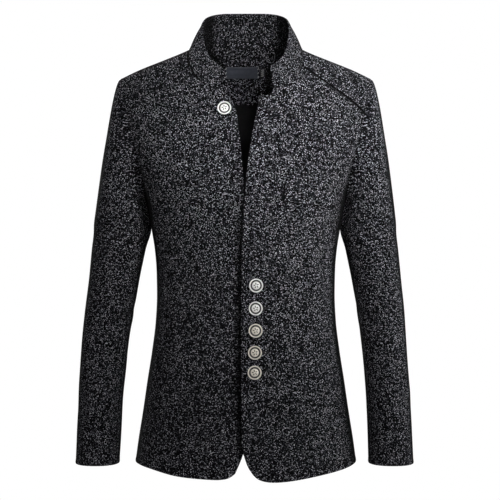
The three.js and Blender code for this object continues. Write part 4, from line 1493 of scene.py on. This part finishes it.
@dataclass
class Yoke(Panel):
    """The slim front yoke of one shoulder."""

    node, held = "yoke_{}", "draped"
    rests_on = ("back_{}", "collar")
    fine: int = 8

    def shell(self) -> ClothShell:
        """The yoke's wall."""
        form, side = self.form, self.side
        i, j = refined(YOKE_ROWS, self.fine), refined(YOKE_COLUMNS, self.fine)
        share, across = (i / YOKE_ROWS) ** 2, j / YOKE_COLUMNS
        step = SIDE_NECK + (YOKE_START - SIDE_NECK) * share
        end = float(form.armhole[Face.FRONT](SHOULDER_Z) * form.half(SHOULDER_Z))
        shoulder_x = COLLAR[SIDE_NECK].x + (end - COLLAR[SIDE_NECK].x) * across
        seam = along(YOKE_SEAM, across)
        places = patch(
            form.to_angle(form.collar_places(step)),
            form.armhole_places(side, i),
            form.to_angle(np.stack([shoulder_x, form.ridge(shoulder_x)], -1)),
            form.to_angle(seam),
            share,
            across,
        )
        x, z = form.from_angle(places)
        x = x * side.value
        outer = form.point(Face.FRONT, x, z)
        low = form.normal(Face.FRONT, side.value * seam[:, 0], seam[:, 1])
        return ClothShell(
            name=f"cloth_yoke_{side.word}",
            outer=outer,
            inside=core(outer),
            borders={
                "top": Border.seam(form.shoulder_normal(side, shoulder_x)),
                "bottom": Border.seam(low, line=YOKE_SEAM_SHADE[side]),
                "first": Border.seam(
                    form.collar_frame(side, step), line=form.collar_line(side, step)
                ),
                "last": form.armhole_border(side, i),
            },
            cloth=stack(form.reach(Face.FRONT, x, z), -z, 60.0 * side.value),
            lift=form.lift(Face.FRONT, x, z),
        )


@dataclass
class BackPanel(Panel):
    """One half of the back, from the collar and shoulder to the hem."""

    node, held = "back_{}", "hung"
    rests_on = ("collar",)
    columns: int = 10
    fine_across: int = 5
    fine_down: int = 6

    def top_edge(self, j: np.ndarray) -> np.ndarray:
        """The collar seam and then the shoulder seam, as x and z for each column."""
        form = self.form
        step = np.clip(j, 0, SIDE_NECK)
        neck = form.collar_places(step)
        end = float(form.armhole[Face.FRONT](SHOULDER_Z) * form.half(SHOULDER_Z))
        start = COLLAR[SIDE_NECK].x
        x = start + (end - start) * np.clip((j - SIDE_NECK) / YOKE_COLUMNS, 0, 1)
        return np.where(j[:, None] <= SIDE_NECK, neck, np.stack([x, form.ridge(x)], -1))

    def shell(self) -> ClothShell:
        """The back's wall."""
        form, side = self.form, self.side
        j = refined(self.columns, self.fine_across)
        up, down = refined(BACK_ROWS, self.fine_down), refined(HEM_ROWS, self.fine_down)
        across = j / self.columns
        top = self.top_edge(j)
        chest = np.stack([math.pi / 2 * across, CHEST_Z + 0 * j], -1)
        share = (1 - np.cos(up / BACK_ROWS * math.pi)) / 2
        middle_z = COLLAR[0].z + (CHEST_Z - COLLAR[0].z) * share
        upper = patch(
            np.stack([0 * share, middle_z], -1),
            form.armhole_places(side, ARMHOLE_TURN - up),
            form.to_angle(top),
            chest,
            share,
            across,
        )
        share = down / HEM_ROWS
        side_z = CHEST_Z + (SIDE_HEM_Z - CHEST_Z) * share
        hem_z = BACK_HEM_Z + (SIDE_HEM_Z - BACK_HEM_Z) * across
        lower = patch(
            np.stack([0 * share, CHEST_Z + (BACK_HEM_Z - CHEST_Z) * share], -1),
            np.stack([0 * share + math.pi / 2, side_z], -1),
            chest,
            np.stack([math.pi / 2 * across, hem_z], -1),
            share,
            across,
        )
        x, z = form.from_angle(np.concatenate([upper, lower[1:]]))
        x = x * side.value
        outer = form.point(Face.BACK, x, z)
        neck, shoulder = j <= SIDE_NECK, j > SIDE_NECK
        ridge = form.shoulder_normal(side, top[shoulder, 0])
        arm_seam = form.armhole_border(side, ARMHOLE_TURN - up)
        return ClothShell(
            name=f"cloth_back_{side.word}",
            outer=outer,
            inside=core(outer),
            borders={
                "top": Border.seam(form.collar_frame(side, j[neck])).then(
                    Border.seam(ridge, line=0.4)
                ),
                "bottom": Border.folded(len(j)),
                "first": Border.seam(form.normal(Face.BACK, 0 * z[:, 0], z[:, 0]), still=False),
                "last": arm_seam.then(Border.seam(form.side_normal(side, side_z[1:]))),
            },
            cloth=stack(form.reach(Face.BACK, x, z), -z, 80.0 * side.value),
            lift=form.lift(Face.BACK, x, z),
            facing={"bottom": TURN_UP},
        )


class SleevePart(Enum):
    """The two parts of a sleeve, with the steps round it where each starts and ends."""

    TOP = ("top_sleeve", -7, 10)
    UNDER = ("under_sleeve", 10, 17)


@dataclass
class Sleeve:
    """One set-in sleeve in two parts."""

    form: BodyForm
    side: Side
    flats: dict[SleevePart, Flat]
    head_rows: int = 7
    fall_rows: int = 13
    fine_round: int = 4
    fine_down: int = 7
    power: float = 2.2
    fullness: float = 0.25
    hang: float = 10.0
    degree: float = 0.85
    elbow_z: float = -400.0

    def __post_init__(self) -> None:
        """Makes the curves of the rings."""
        word = self.side.word
        self.middle = Track(SLEEVE, "z", f"{word}_x")
        self.half = Track(SLEEVE, "z", f"{word}_half")
        self.y, self.depth = Track(SLEEVE, "z", "y"), Track(SLEEVE, "z", "depth")

    def ring(self, step: np.ndarray, z: np.ndarray | float) -> np.ndarray:
        """Points of the hanging sleeve at steps round it and heights."""
        angle = step / ARMHOLE_TURN * 2 * math.pi
        cos, sin = np.cos(angle), np.sin(angle)
        outward = np.sign(cos) * np.abs(cos) ** (2 / self.power)
        forward = np.sign(sin) * np.abs(sin) ** (2 / self.power)
        degrees = np.mod(np.degrees(angle), 360)
        dent = 0.0
        for row in SLEEVE_DENTS:
            turn = np.abs(degrees - row.angle)
            turn = np.minimum(turn, 360 - turn)
            dent = dent + row.depth * bell(turn, row.wide) * bell(z - row.z, row.tall)
        x = self.side.value * (self.middle(z) + (self.half(z) - dent) * outward)
        return stack(x, self.y(z) - (self.depth(z) - dent) * forward, z)

    def surface(self, step: np.ndarray, row: np.ndarray) -> np.ndarray:
        """Points of the sleeve.

        Args:
            step: Steps round it, 24 to a turn.
            row: Rows from the armhole, through the sleeve head, to the cuff.

        Returns:
            Points in rows and columns.
        """
        share = (1 - row[row <= self.head_rows] / self.head_rows)[:, None, None]
        start = self.ring(step, SLEEVE_TOP_Z)
        slope = unit(start - self.ring(step, SLEEVE_TOP_Z - self.hang))
        spot = self.form.armhole_spot(self.side, step)
        to_sleeve = self.form.armhole_frame(self.side, step)[1]
        reach = np.linalg.norm(spot - start, axis=-1, keepdims=True)
        head = start * (1 + 2 * share) * (1 - share) ** 2 + spot * share**2 * (3 - 2 * share)
        head = head + slope * share * (1 - share) ** 2 * reach
        head = head + to_sleeve * share**2 * (1 - share) * reach * self.fullness
        head = head + to_sleeve * self.form.ease * smooth((share - 0.95) / 0.05)
        fall = (row[row > self.head_rows] - self.head_rows) / self.fall_rows
        z = (SLEEVE_TOP_Z + (CUFF_Z - SLEEVE_TOP_Z) * fall)[:, None]
        return np.concatenate([head, self.ring(step[None], z)])

    def lift(self, step: np.ndarray, points: np.ndarray) -> np.ndarray:
        """How far the sleeve's creases lift the cloth."""
        z = points[..., 2]
        total = np.zeros(z.shape)
        for crease in SLEEVE_CREASES[self.side]:
            middle = (crease.u0 + crease.u1) / 2
            degrees = np.mod(step * 15 - middle + 180, 360) - 180 + middle
            line = crease._replace(u0=crease.u0 * self.degree, u1=crease.u1 * self.degree)
            total = total + crease_heights((line,), (degrees * self.degree)[None] + 0 * z, z)
        return total + unevenness(50 * np.sin(step * math.pi / 12)[None] + 0 * z, z, 3.3)

    def shell(self, part: SleevePart) -> ClothShell:
        """The wall of one part."""
        name, first, last = part.value
        step = first + refined(last - first, self.fine_round)
        rows = refined(self.head_rows + self.fall_rows, self.fine_down)
        outer = self.surface(step, rows)
        middle_z = np.minimum(outer[..., 2], SLEEVE_TOP_Z)
        axis = stack(
            self.side.value * self.middle(middle_z),
            self.y(middle_z),
            np.minimum(outer[..., 2], -140.0),
        )
        around = run_length(self.ring(step, self.elbow_z))
        count = len(step)
        return ClothShell(
            name=f"cloth_{name}_{self.side.word}",
            outer=outer,
            inside=axis,
            borders={
                "top": self.form.armhole_border(self.side, step),
                "bottom": Border.folded(count),
                "first": Border.seam(self.seam_normals(first, rows), still=False),
                "last": Border.seam(self.seam_normals(last, rows), still=False),
            },
            cloth=stack(around[None] + 0 * outer[..., 2], -outer[..., 2], 100.0 + first),
            lift=self.lift(step, outer),
            crease_fade=7.0,
            facing={"bottom": TURN_UP},
        )

    def seam_normals(self, step: float, rows: np.ndarray) -> np.ndarray:
        """Outward directions of the sleeve along one of its seams."""
        near = self.surface(np.array([step - 0.5, step, step + 0.5]), rows)
        fall = np.gradient(near[:, 1], axis=0)
        return unit(np.cross(near[:, 2] - near[:, 0], fall)) * self.side.value

    def build(self, finishes: Finishes) -> list[bpy.types.Object]:
        """Makes both parts in the place of their solids."""
        word, pieces = self.side.word, []
        for part in SleevePart:
            node, flat = f"{part.value[0]}_{word}", self.flats[part]
            pieces.append(dress(self.shell(part), finishes.lined, node))
        return pieces


# The slanting edge of the right collar's end, and the way across it, as seen from the front, for
# the painted shade behind it
END_EDGE = Spot(-66.0, 10.0)
END_ACROSS = Spot(0.736, 0.678)
END_WIDTH = 9.0
END_LOW_Z = -30.0


def end_shade(x: np.ndarray, z: np.ndarray) -> np.ndarray:
    """Painted shade on the cloth behind the slanting edge of the right collar's end."""
    away = END_ACROSS.x * (x - END_EDGE.x) + END_ACROSS.z * (z - END_EDGE.z)
    return 0.9 * (1 - smooth(away / END_WIDTH)) * smooth((z - END_LOW_Z) / 8.0)


@dataclass
class Collar:
    """The stand collar, with its slanting ends and a softly rolled edge."""

    form: BodyForm
    flat: Flat
    fine: int = 6
    rows: int = 22
    bulge: float = 1.6
    # Painted shade on the inner face: its base level, and more towards each end
    dusk: float = 0.25
    left_dusk: tuple[float, float, float] = (46.0, 14.0, 0.65)
    right_dusk: tuple[float, float, float] = (49.0, 12.0, 0.68)

    def shade(self, outer: np.ndarray) -> np.ndarray:
        """Painted shade on the inner face: more beside both ends, which stand before it."""
        total = self.dusk
        for sign, (start, width, more) in ((1, self.left_dusk), (-1, self.right_dusk)):
            total = total + more * smooth((sign * outer[..., 0] - start) / width)
        return np.maximum(total, end_shade(outer[..., 0], outer[..., 2]))

    def shell(self) -> ClothShell:
        """The collar's wall, from its right end round the back to its left end."""
        form = self.form
        step = refined(COLLAR_END, self.fine)
        stations = [(Side.RIGHT, step[:0:-1]), (Side.LEFT, step)]
        seam = np.concatenate([form.collar_seam(side, at) for side, at in stations])
        top = np.concatenate([form.collar_top(side, at) for side, at in stations])
        normals = np.concatenate([form.collar_frame(side, at) for side, at in stations])
        line = np.concatenate([form.collar_line(side, at) for side, at in stations])
        share = (refined(self.rows, 1) / self.rows)[:, None, None]
        outer = seam[None] * (1 - share) + top[None] * share
        middle = stack(0.0, -10.0, outer[..., 2] - 20.0)
        lift = self.bulge * np.sin(share[..., 0] * math.pi) + 0 * outer[..., 0]
        around = run_length(seam)
        height = np.linalg.norm(outer - outer[:1], axis=-1)
        return ClothShell(
            name="cloth_collar",
            outer=outer,
            inside=middle,
            borders={
                "top": Border.seam(normals, line=line),
                "bottom": Border.folded(len(seam)),
                "first": Border.folded(len(share)),
                "last": Border.folded(len(share)),
            },
            cloth=stack(around[None] + 0 * height, height, 300.0),
            thickness=COLLAR_CLOTH,
            lift=lift,
            edge_roll=0.7,
            dusk=self.shade(outer),
        )

    def build(self, finishes: Finishes) -> bpy.types.Object:
        """Makes the collar in the place of its solid."""
        return dress(self.shell(), [finishes.tweed], "collar")


class Ribbon(NamedTuple):
    """A small piece sewn flat inside the back neck."""

    x: float
    z: float
    width: float
    height: float
    thickness: float


@dataclass
class NeckInside:
    """What shows inside the back neck: facing, lining, bare label and size tab."""

    form: BodyForm
    facing_flat: Flat
    lining_flat: Flat
    label_flat: Flat
    tab_flat: Flat
    half: float = 122.0
    depth_in: float = 3.4
    facing_cloth: float = 1.2
    lining_cloth: float = 1.0
    label_off: float = 0.8
    top_rise: float = 0.6
    lining_drop: float = 1.0
    lining_hem: float = -330.0
    label: Ribbon = Ribbon(-7, -27.5, 58, 20, 0.8)
    size_tab: Ribbon = Ribbon(29.5, -27.5, 9, 14, 0.8)
    edge: tuple[Spot, ...] = table(
        Spot,
        (0, -84), (30, -82), (62, -72), (92, -52), (122, -30),
    )
    stitch_radius: float = 0.5
    stitch_slant: float = 1.4
    # Painted shade on the facing: its darkness, and where it starts across
    dusk: float = 0.92
    dusk_x: float = 29.0
    dusk_shift: float = 17.0

    def inner(self, x: np.ndarray, z: np.ndarray, depth: float) -> np.ndarray:
        """Points under the back's outer face, at a depth in."""
        return self.form.point(Face.BACK, x, z) - self.form.normal(Face.BACK, x, z) * depth

    def layer(
        self, name: str, x: np.ndarray, z: np.ndarray, depth: float, thick: float
    ) -> ClothShell:
        """A thin wall inside the back.

        Args:
            name: The piece's name.
            x: Places across, in rows and columns.
            z: Heights.
            depth: How far its outer face lies in from the back's.
            thick: Its thickness.

        Returns:
            The wall.
        """
        outer = self.inner(x, z, depth)
        rows, columns = Border.folded(len(x)), Border.folded(x.shape[1])
        return ClothShell(
            name=name,
            outer=outer,
            inside=core(outer),
            borders={"top": columns, "bottom": columns, "first": rows, "last": rows},
            cloth=stack(x, -z, 200.0 + depth),
            thickness=thick,
            edge_roll=0.0,
        )

    def facing_top(self, x: np.ndarray) -> np.ndarray:
        """The facing's top edge, under the collar seam and then the shoulder line."""
        neck, away = Track(COLLAR[: SIDE_NECK + 1], "x", "z"), np.abs(x)
        out = away > COLLAR[SIDE_NECK].x
        return np.where(out, self.form.ridge(away), neck(away)) + self.top_rise

    def ribbon(self, ribbon: Ribbon, name: str) -> ClothShell:
        """The wall of the label or the tab."""
        x = ribbon.x + np.linspace(-0.5, 0.5, 40)[None] * ribbon.width
        z = ribbon.z - np.linspace(-0.5, 0.5, 24)[:, None] * ribbon.height
        depth = self.depth_in + self.facing_cloth + self.label_off
        return self.layer(name, x + 0 * z, z + 0 * x, depth, ribbon.thickness)

    def stitches(self, finishes: Finishes) -> bpy.types.Object:
        """The short pale stitches that hold the label's ends and the tab's corners."""
        runs = []
        depth = self.depth_in + self.facing_cloth + self.label_off + self.label.thickness
        for ribbon, count, inset in ((self.label, 3, 0.2), (self.size_tab, 4, 3.4)):
            for end in (-1, 1):
                x = ribbon.x + end * (ribbon.width / 2 - inset)
                for z in np.linspace(-0.34, 0.34, count) * ribbon.height + ribbon.z:
                    slant = np.array([-self.stitch_slant, 0.0, self.stitch_slant])
                    height = np.array([-0.2, 0.45, -0.2])
                    run = self.inner(x + slant * 0.8, z + slant, 0.0)
                    normal = self.form.normal(Face.BACK, x + slant, z + slant)
                    runs.append(run - normal * (depth + height)[:, None])
        return thread_piece("label_stitches", runs, self.stitch_radius, finishes.pale_thread)

    def build(self, finishes: Finishes) -> list[bpy.types.Object]:
        """Makes the pieces in the places of their solids."""
        low = Track(self.edge, "x", "z")
        x = np.linspace(-self.half, self.half, 97)[None]
        top, bottom = self.facing_top(x), low(np.abs(x))
        share = np.linspace(0, 1, 41)[:, None] ** 1.4
        z = top + (bottom - top) * share
        upper = bottom - self.lining_drop
        low_z = upper + (self.lining_hem - upper) * np.linspace(0, 1, 61)[:, None]
        facing = self.layer("cloth_back_facing", x + 0 * z, z, self.depth_in, self.facing_cloth)
        # Painted shade on the facing's inner face towards the wearer's left and behind the right
        # collar's end
        start = self.dusk_x + self.dusk_shift * smooth((z + 24.0) / 14.0)
        facing.dusk = np.maximum(self.dusk * smooth((x - start) / 8.0), end_shade(x, z))
        lining = self.layer(
            "cloth_back_lining", x + 0 * low_z, low_z, self.depth_in, self.lining_cloth
        )
        label = self.ribbon(self.label, "satin_label")
        tab = self.ribbon(self.size_tab, "satin_tab")
        return [
            dress(facing, [finishes.tweed], "back_facing"),
            dress(lining, [finishes.lining], "back_lining"),
            dress(label, [finishes.label], "neck_label"),
            dress(tab, [finishes.tab], "size_tab"),
            self.stitches(finishes),
        ]


THREAD_STEP = 0.4
# A direction that no thread runs along
ASKEW = (0.13, 0.97, 0.21)


def thread_piece(
    name: str,
    runs: Sequence[np.ndarray],
    radius: float,
    material: bpy.types.Material,
    sides: int = 8,
) -> bpy.types.Object:
    """Joined lengths of thread with rounded ends.

    Args:
        name: The piece's name.
        runs: The points that each length follows, in millimetres.
        radius: The thread's radius.
        material: Its material.
        sides: Faces round the thread.

    Returns:
        The piece.
    """
    points, faces, cloth = [], [], []
    angles = np.linspace(0, 2 * math.pi, sides, endpoint=False)
    for run in runs:
        gone = run_length(run)
        places = np.linspace(0, gone[-1], max(6, int(gone[-1] / THREAD_STEP)))
        path = np.stack([np.interp(places, gone, run[:, k]) for k in range(3)], -1)
        way = unit(np.gradient(path, axis=0))
        across = unit(np.cross(way, np.array(ASKEW)))
        up = np.cross(way, across)
        ends = np.sqrt(np.clip(1 - np.linspace(-1, 1, len(path)) ** 8, 0.02, 1))
        offset = np.cos(angles)[None, :, None] * across[:, None]
        offset = offset + np.sin(angles)[None, :, None] * up[:, None]
        tube = path[:, None] + offset * (radius * ends)[:, None, None]
        start = sum(len(p) for p in points)
        last = start + (len(path) - 1) * sides
        points.append(tube.reshape(-1, 3))
        cloth.append(stack(places[:, None], angles * radius, 0.0).reshape(-1, 3))
        faces += (ring_faces(len(path), sides) + start).tolist()
        faces.append(list(range(start + sides - 1, start - 1, -1)))
        faces.append(list(range(last, last + sides)))
    piece = new_mesh(name, np.concatenate(points) * MM, faces, [material])
    add_attribute(piece.data, "cloth", "FLOAT_VECTOR", np.concatenate(cloth) * MM)
    return piece


@dataclass
class BreastWelt:
    """The welt of the breast pocket, sewn at its ends and foot and open along its top."""

    form: BodyForm
    flat: Flat
    start_x: float = 62.0
    end_x: float = 147.0
    top_z: float = -232.5
    slope: float = -0.1
    height: float = 29.5
    lean: float = -2.0
    thickness: float = 1.4
    off: float = 0.6

    def build(self, finishes: Finishes) -> bpy.types.Object:
        """Makes the welt in the place of its solid."""
        form = self.form
        across = (refined(24, 1) / 24)[None]
        down = (refined(10, 1) / 10)[:, None]
        width = self.end_x - self.start_x
        x = self.start_x + width * across + self.lean * down
        z = self.top_z + self.slope * width * across - self.height * down
        normal = form.normal(Face.FRONT, x, z)
        lift = form.lift(Face.FRONT, x, z) + self.off + self.thickness
        outer = form.front_point(Side.LEFT, x, z) + normal * lift[..., None]
        shell = ClothShell(
            name="cloth_breast_welt",
            outer=outer,
            inside=core(outer),
            borders={
                "top": Border.folded(x.shape[1]),
                # Painted shade along the sewn edges: strong at the first end, fading along the foot
                "bottom": Border.seam(normal[-1], line=1.1 - 0.6 * smooth((across[0] - 0.5) / 0.5)),
                "first": Border.seam(normal[:, 0], line=1.4),
                "last": Border.seam(normal[:, -1], line=0.12),
            },
            cloth=stack(x, -z, 333.0),
            thickness=self.thickness,
            edge_roll=0.3,
            seam_width=1.3,
        )
        cloth = [finishes.tweed]
        return dress(shell, cloth, "breast_welt")


class ButtonPlace(NamedTuple):
    """Where a button is sewn on the fronts."""

    node: str
    x: float
    z: float


BUTTONS = table(
    ButtonPlace,
    ("button_top", -34.9, -107.7), ("button_1", 17.0, -397.8), ("button_2", 16.2, -435.2),
    ("button_3", 16.0, -471.4), ("button_4", 15.0, -507.2), ("button_5", 14.5, -539.6),
)
# Buttons below this height are of a warmer metal
WARM_BELOW = -450.0


class RadiusRow(NamedTuple):
    """A point of the button's section."""

    radius: float
    height: float


@dataclass
class Button:
    """A metal shank button: bright rim, dark channel and a dome with a plain rosette."""

    form: BodyForm
    place: ButtonPlace
    section: tuple[RadiusRow, ...] = table(
        RadiusRow,
        (0, 0.15), (3.1, 0.15), (3.2, 1.4), (9.4, 1.7), (11.1, 2.5), (11.7, 3.4), (11.3, 4.2),
        (10.5, 4.5), (9.4, 4.3), (9.0, 3.1), (8.5, 2.6), (7.4, 2.6), (6.9, 3.2), (6.6, 4.0),
        (5.8, 4.6), (3.7, 5.15), (0, 5.3),
    )
    rings: int = 90
    steps: int = 72
    petals: int = 5
    relief: float = 0.3
    beads: int = 36
    dome: float = 6.6
    device: float = 3.1
    channel: tuple[float, float] = (6.5, 9.35)
    dark_edge: float = 11.25

    def build(self, material: bpy.types.Material) -> bpy.types.Object:
        """Makes the button in the place of its solid.

        Args:
            material: The button's metal.

        Returns:
            The piece.
        """
        line = along(self.section, np.linspace(0, 1, self.rings))
        radius, height = np.abs(line[:, 0])[:, None], line[:, 1][:, None]
        turn = np.linspace(0, 2 * math.pi, self.steps, endpoint=False)[None]
        face = (height > 3.6) & (radius < self.dome)
        petals = np.cos(self.petals * turn + 0.6) * bell(radius - self.device, 1.4)
        eye = bell(radius, 1.2) - 0.7 * bell(radius - 2.2, 0.6)
        ring = 0.3 * bell(radius - 5.6, 0.4)
        beads = (height > 3.9) * bell(radius - 10.6, 0.4) * np.cos(self.beads * turn) * 0.25
        relief = self.relief * (np.where(face, petals + eye + ring, 0.0) + beads)
        hollow = np.where(face, smooth((-relief / self.relief - 0.1) * 2.0), 0.0)
        start, end = self.channel
        channel = (height > 2.3) * smooth((end - radius) / 0.3) * smooth((radius - start) / 0.3)
        # Painted shade on the outer flank, standing in for the dark edge round the button
        channel = np.maximum(channel, smooth((radius - self.dark_edge) / 0.3))
        hollow = np.maximum(hollow, channel + 0 * turn)
        local = stack(radius * np.cos(turn), radius * np.sin(turn), height + relief)
        normal, centre = self.stand()
        right = unit(np.cross(np.array([0.0, 0.0, 1.0]), normal))
        up = np.cross(normal, right)
        points = centre + local[..., :1] * right + local[..., 1:2] * up + local[..., 2:] * normal
        quads = ring_faces(self.rings, self.steps)
        name = f"metal_{self.place.node}"
        piece = new_mesh(name, points.reshape(-1, 3) * MM, quads[:, ::-1], [material])
        add_attribute(piece.data, "hollow", "FLOAT", hollow)
        add_attribute(piece.data, "cloth", "FLOAT_VECTOR", local.reshape(-1, 3) * MM)
        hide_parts(self.place.node)
        return piece

    def stand(self) -> tuple[np.ndarray, np.ndarray]:
        """The button's outward direction and the place that it stands on."""
        x, z = np.array(self.place.x), np.array(self.place.z)
        side = Side.RIGHT if self.place.x < 0 else Side.LEFT
        normal = self.form.normal(Face.FRONT, x, z)
        lift = float(self.form.lift(Face.FRONT, x, z)) + 0.3
        return normal, self.form.front_point(side, x, z) + normal * lift


@dataclass
class Buttonholes:
    """The worked buttonholes of the left front, in black thread."""

    form: BodyForm
    length: float = 26.0
    half_height: float = 1.1
    radius: float = 0.55
    top_place: Spot = Spot(35.0, -109.0)
    lead: float = 3.0

    def path(self, x: float, z: float) -> np.ndarray:
        """The outline of one buttonhole on the cloth."""
        turn = np.linspace(0, 2 * math.pi, 90)
        half = self.length / 2
        across = x + half + half * np.sign(np.cos(turn)) * np.abs(np.cos(turn)) ** 0.35
        eye = 1 + 0.7 * bell(across - x - 1.5, 2.0)
        height = z + self.half_height * eye * np.sin(turn)
        normal = self.form.normal(Face.FRONT, across, height)
        lift = self.form.lift(Face.FRONT, across, height) + 0.1
        return self.form.front_point(Side.LEFT, across, height) + normal * lift[:, None]

    def build(self, finishes: Finishes) -> bpy.types.Object:
        """Makes them as one piece."""
        places = [Spot(row.x - self.lead, row.z) for row in BUTTONS if row.x > 0]
        runs = [self.path(spot.x, spot.z) for spot in [self.top_place, *places]]
        piece = thread_piece("buttonhole_thread", runs, self.radius, finishes.black_thread)
        return piece


@dataclass(frozen=True)
class Lamp:
    """A soft studio lamp."""

    name: str
    place: tuple[float, float, float]
    aim: tuple[float, float, float]
    size: float
    watts: float
    spread: float = 180.0
    colour: tuple[float, float, float] = (1.0, 1.0, 1.0)

    def build(self) -> None:
        """Makes the lamp and turns it to its aim."""
        light = bpy.data.lights.new(self.name, "AREA")
        light.shape, light.size = "DISK", self.size
        light.energy, light.color = self.watts, self.colour
        light.spread = math.radians(self.spread)
        lamp = linked(self.name, light)
        lamp.location = self.place
        way = Vector(self.aim) - Vector(self.place)
        lamp.rotation_mode = "QUATERNION"
        lamp.rotation_quaternion = way.to_track_quat("-Z", "Y")


@dataclass
class Studio:
    """The camera at the photograph's place, soft lamps, a pale floor and a white surround."""

    camera_place: tuple[float, float, float] = (0.0071, -2.9, -0.34)
    view_width: float = 0.85
    sensor: float = 36.0
    floor_z: float = -1.0
    floor_radius: float = 0.8
    surround_radius: float = 14.0
    lamps: tuple[Lamp, ...] = (
        Lamp("key", (1.1, -1.3, 0.6), (0.15, 0.0, 0.05), 0.6, 4.9, 90.0),
        Lamp("left_fill", (-1.9, -2.3, 0.6), (0.0, 0.0, -0.1), 1.0, 1.55, 60.0),
        Lamp("right_rim", (2.6, -0.3, 0.3), (0.0, 0.0, -0.2), 1.0, 4.0, 60.0),
        Lamp("chest_fill", (0.6, -2.8, 0.7), (0.08, -0.1, -0.12), 0.4, 0.45, 14.0),
        Lamp("back_light", (-1.4, 2.7, 0.9), (0.0, 0.0, -0.3), 1.4, 48.0),
    )
    ambient: float = 0.06

    def camera(self) -> None:
        """Makes the camera, level with the jacket's middle."""
        data = bpy.data.cameras.new("camera")
        data.sensor_width = self.sensor
        data.lens = self.sensor * -self.camera_place[1] / self.view_width
        camera = linked("camera", data)
        camera.location = self.camera_place
        camera.rotation_euler = (math.pi / 2, 0.0, 0.0)
        bpy.context.scene.camera = camera

    def floor(self) -> None:
        """Makes the round pale floor."""
        s = Shader("pale_floor")
        tone = s.noise(s.node("ShaderNodeTexCoord", {}).outputs["Object"], 3.0)
        dim, pale = ((*grey(level), 1.0) for level in (0.8, 0.84))
        colour = s.mixed(tone, dim, pale)
        values = {"Base Color": colour, "Roughness": 0.8}
        material = s.finish(s.node("ShaderNodeBsdfPrincipled", {}, values).outputs[0])
        turn = np.linspace(0, 2 * math.pi, 96, endpoint=False)
        x, y = self.floor_radius * np.cos(turn), self.floor_radius * np.sin(turn)
        points, corners = stack(x, y, self.floor_z), [list(range(len(turn)))]
        linked("floor", plain_mesh("floor", points, corners, [material]))

    def surround(self) -> None:
        """Makes the white surround that only the camera sees."""
        s = Shader("white_surround")
        material = s.finish(s.node("ShaderNodeEmission", {}, {"Strength": 1.0}).outputs[0])
        rings, steps = 24, 48
        tilt = np.linspace(0.02, math.pi - 0.02, rings)[:, None]
        turn = np.linspace(0, 2 * math.pi, steps, endpoint=False)[None]
        r = self.surround_radius
        x, y = r * np.sin(tilt) * np.cos(turn), r * np.sin(tilt) * np.sin(turn)
        points = stack(x, y, r * np.cos(tilt) + 0 * turn)
        quads, last = ring_faces(rings, steps), (rings - 1) * steps
        caps = [list(range(steps)), list(range(last + steps - 1, last - 1, -1))]
        faces = quads.tolist() + caps
        sky = linked("surround", plain_mesh("surround", points.reshape(-1, 3), faces, [material]))
        sky.visible_diffuse = False
        sky.visible_glossy = False
        sky.visible_transmission = False
        sky.visible_shadow = False

    def world(self) -> None:
        """Gives the scene a weak even light from all round."""
        world = bpy.data.worlds.new("soft_surroundings")
        world.use_nodes = True
        background = world.node_tree.nodes["Background"]
        background.inputs["Color"].default_value = (1.0, 1.0, 1.0, 1.0)
        background.inputs["Strength"].default_value = self.ambient
        bpy.context.scene.world = world

    def build(self) -> None:
        """Makes the whole studio."""
        bpy.context.scene.view_settings.view_transform = "Standard"
        self.camera()
        self.floor()
        self.surround()
        self.world()
        for lamp in self.lamps:
            lamp.build()


def make_jacket(form: BodyForm, finishes: Finishes) -> list[bpy.types.Object]:
    """Builds the jacket's pieces in order.

    Args:
        form: The body's form.
        finishes: The materials.

    Returns:
        The pieces.
    """
    pieces = []
    for side in Side:
        sleeve_flats = {
            SleevePart.TOP: Flat(0.215, 0.66, 0.78),
            SleevePart.UNDER: Flat(0.115, 0.46, 0.85),
        }
        pieces.append(FrontPanel(form, side, Flat(0.27, 0.655, 0.87)).build(finishes))
        pieces.append(Yoke(form, side, Flat(0.14, 0.12, 0.62)).build(finishes))
        pieces.append(BackPanel(form, side, Flat(0.25, 0.72, 0.82)).build(finishes))
        pieces += Sleeve(form, side, sleeve_flats).build(finishes)
    pieces.append(Collar(form, Flat(0.42, 0.07, 0.85)).build(finishes))
    flats = Flat(0.25, 0.1, 0.8), Flat(0.26, 0.3, 0.92), Flat(0.058, 0.02, 1.0)
    pieces += NeckInside(form, *flats, Flat(0.01, 0.016, 0.79)).build(finishes)
    pieces.append(BreastWelt(form, Flat(0.09, 0.03, 1.0)).build(finishes))
    for place in BUTTONS:
        metal = finishes.pewter if place.z > WARM_BELOW else finishes.warm_pewter
        pieces.append(Button(form, place).build(metal))
    pieces.append(Buttonholes(form).build(finishes))
    return pieces


def main() -> None:
    """Dresses the frame and sets the studio round it."""
    logging.basicConfig(level=logging.INFO, format="%(message)s")
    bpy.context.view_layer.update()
    for piece in make_jacket(BodyForm(), Finishes()):
        faces = piece.data.polygons
        area = sum(face.area for face in faces) / 2  # the two sides of the cloth
        LOG.info("%s: %d faces, %.4f square metres", piece.name, len(faces), area)
    Studio().build()
    bpy.context.view_layer.update()


if __name__ == "__main__":
    main()
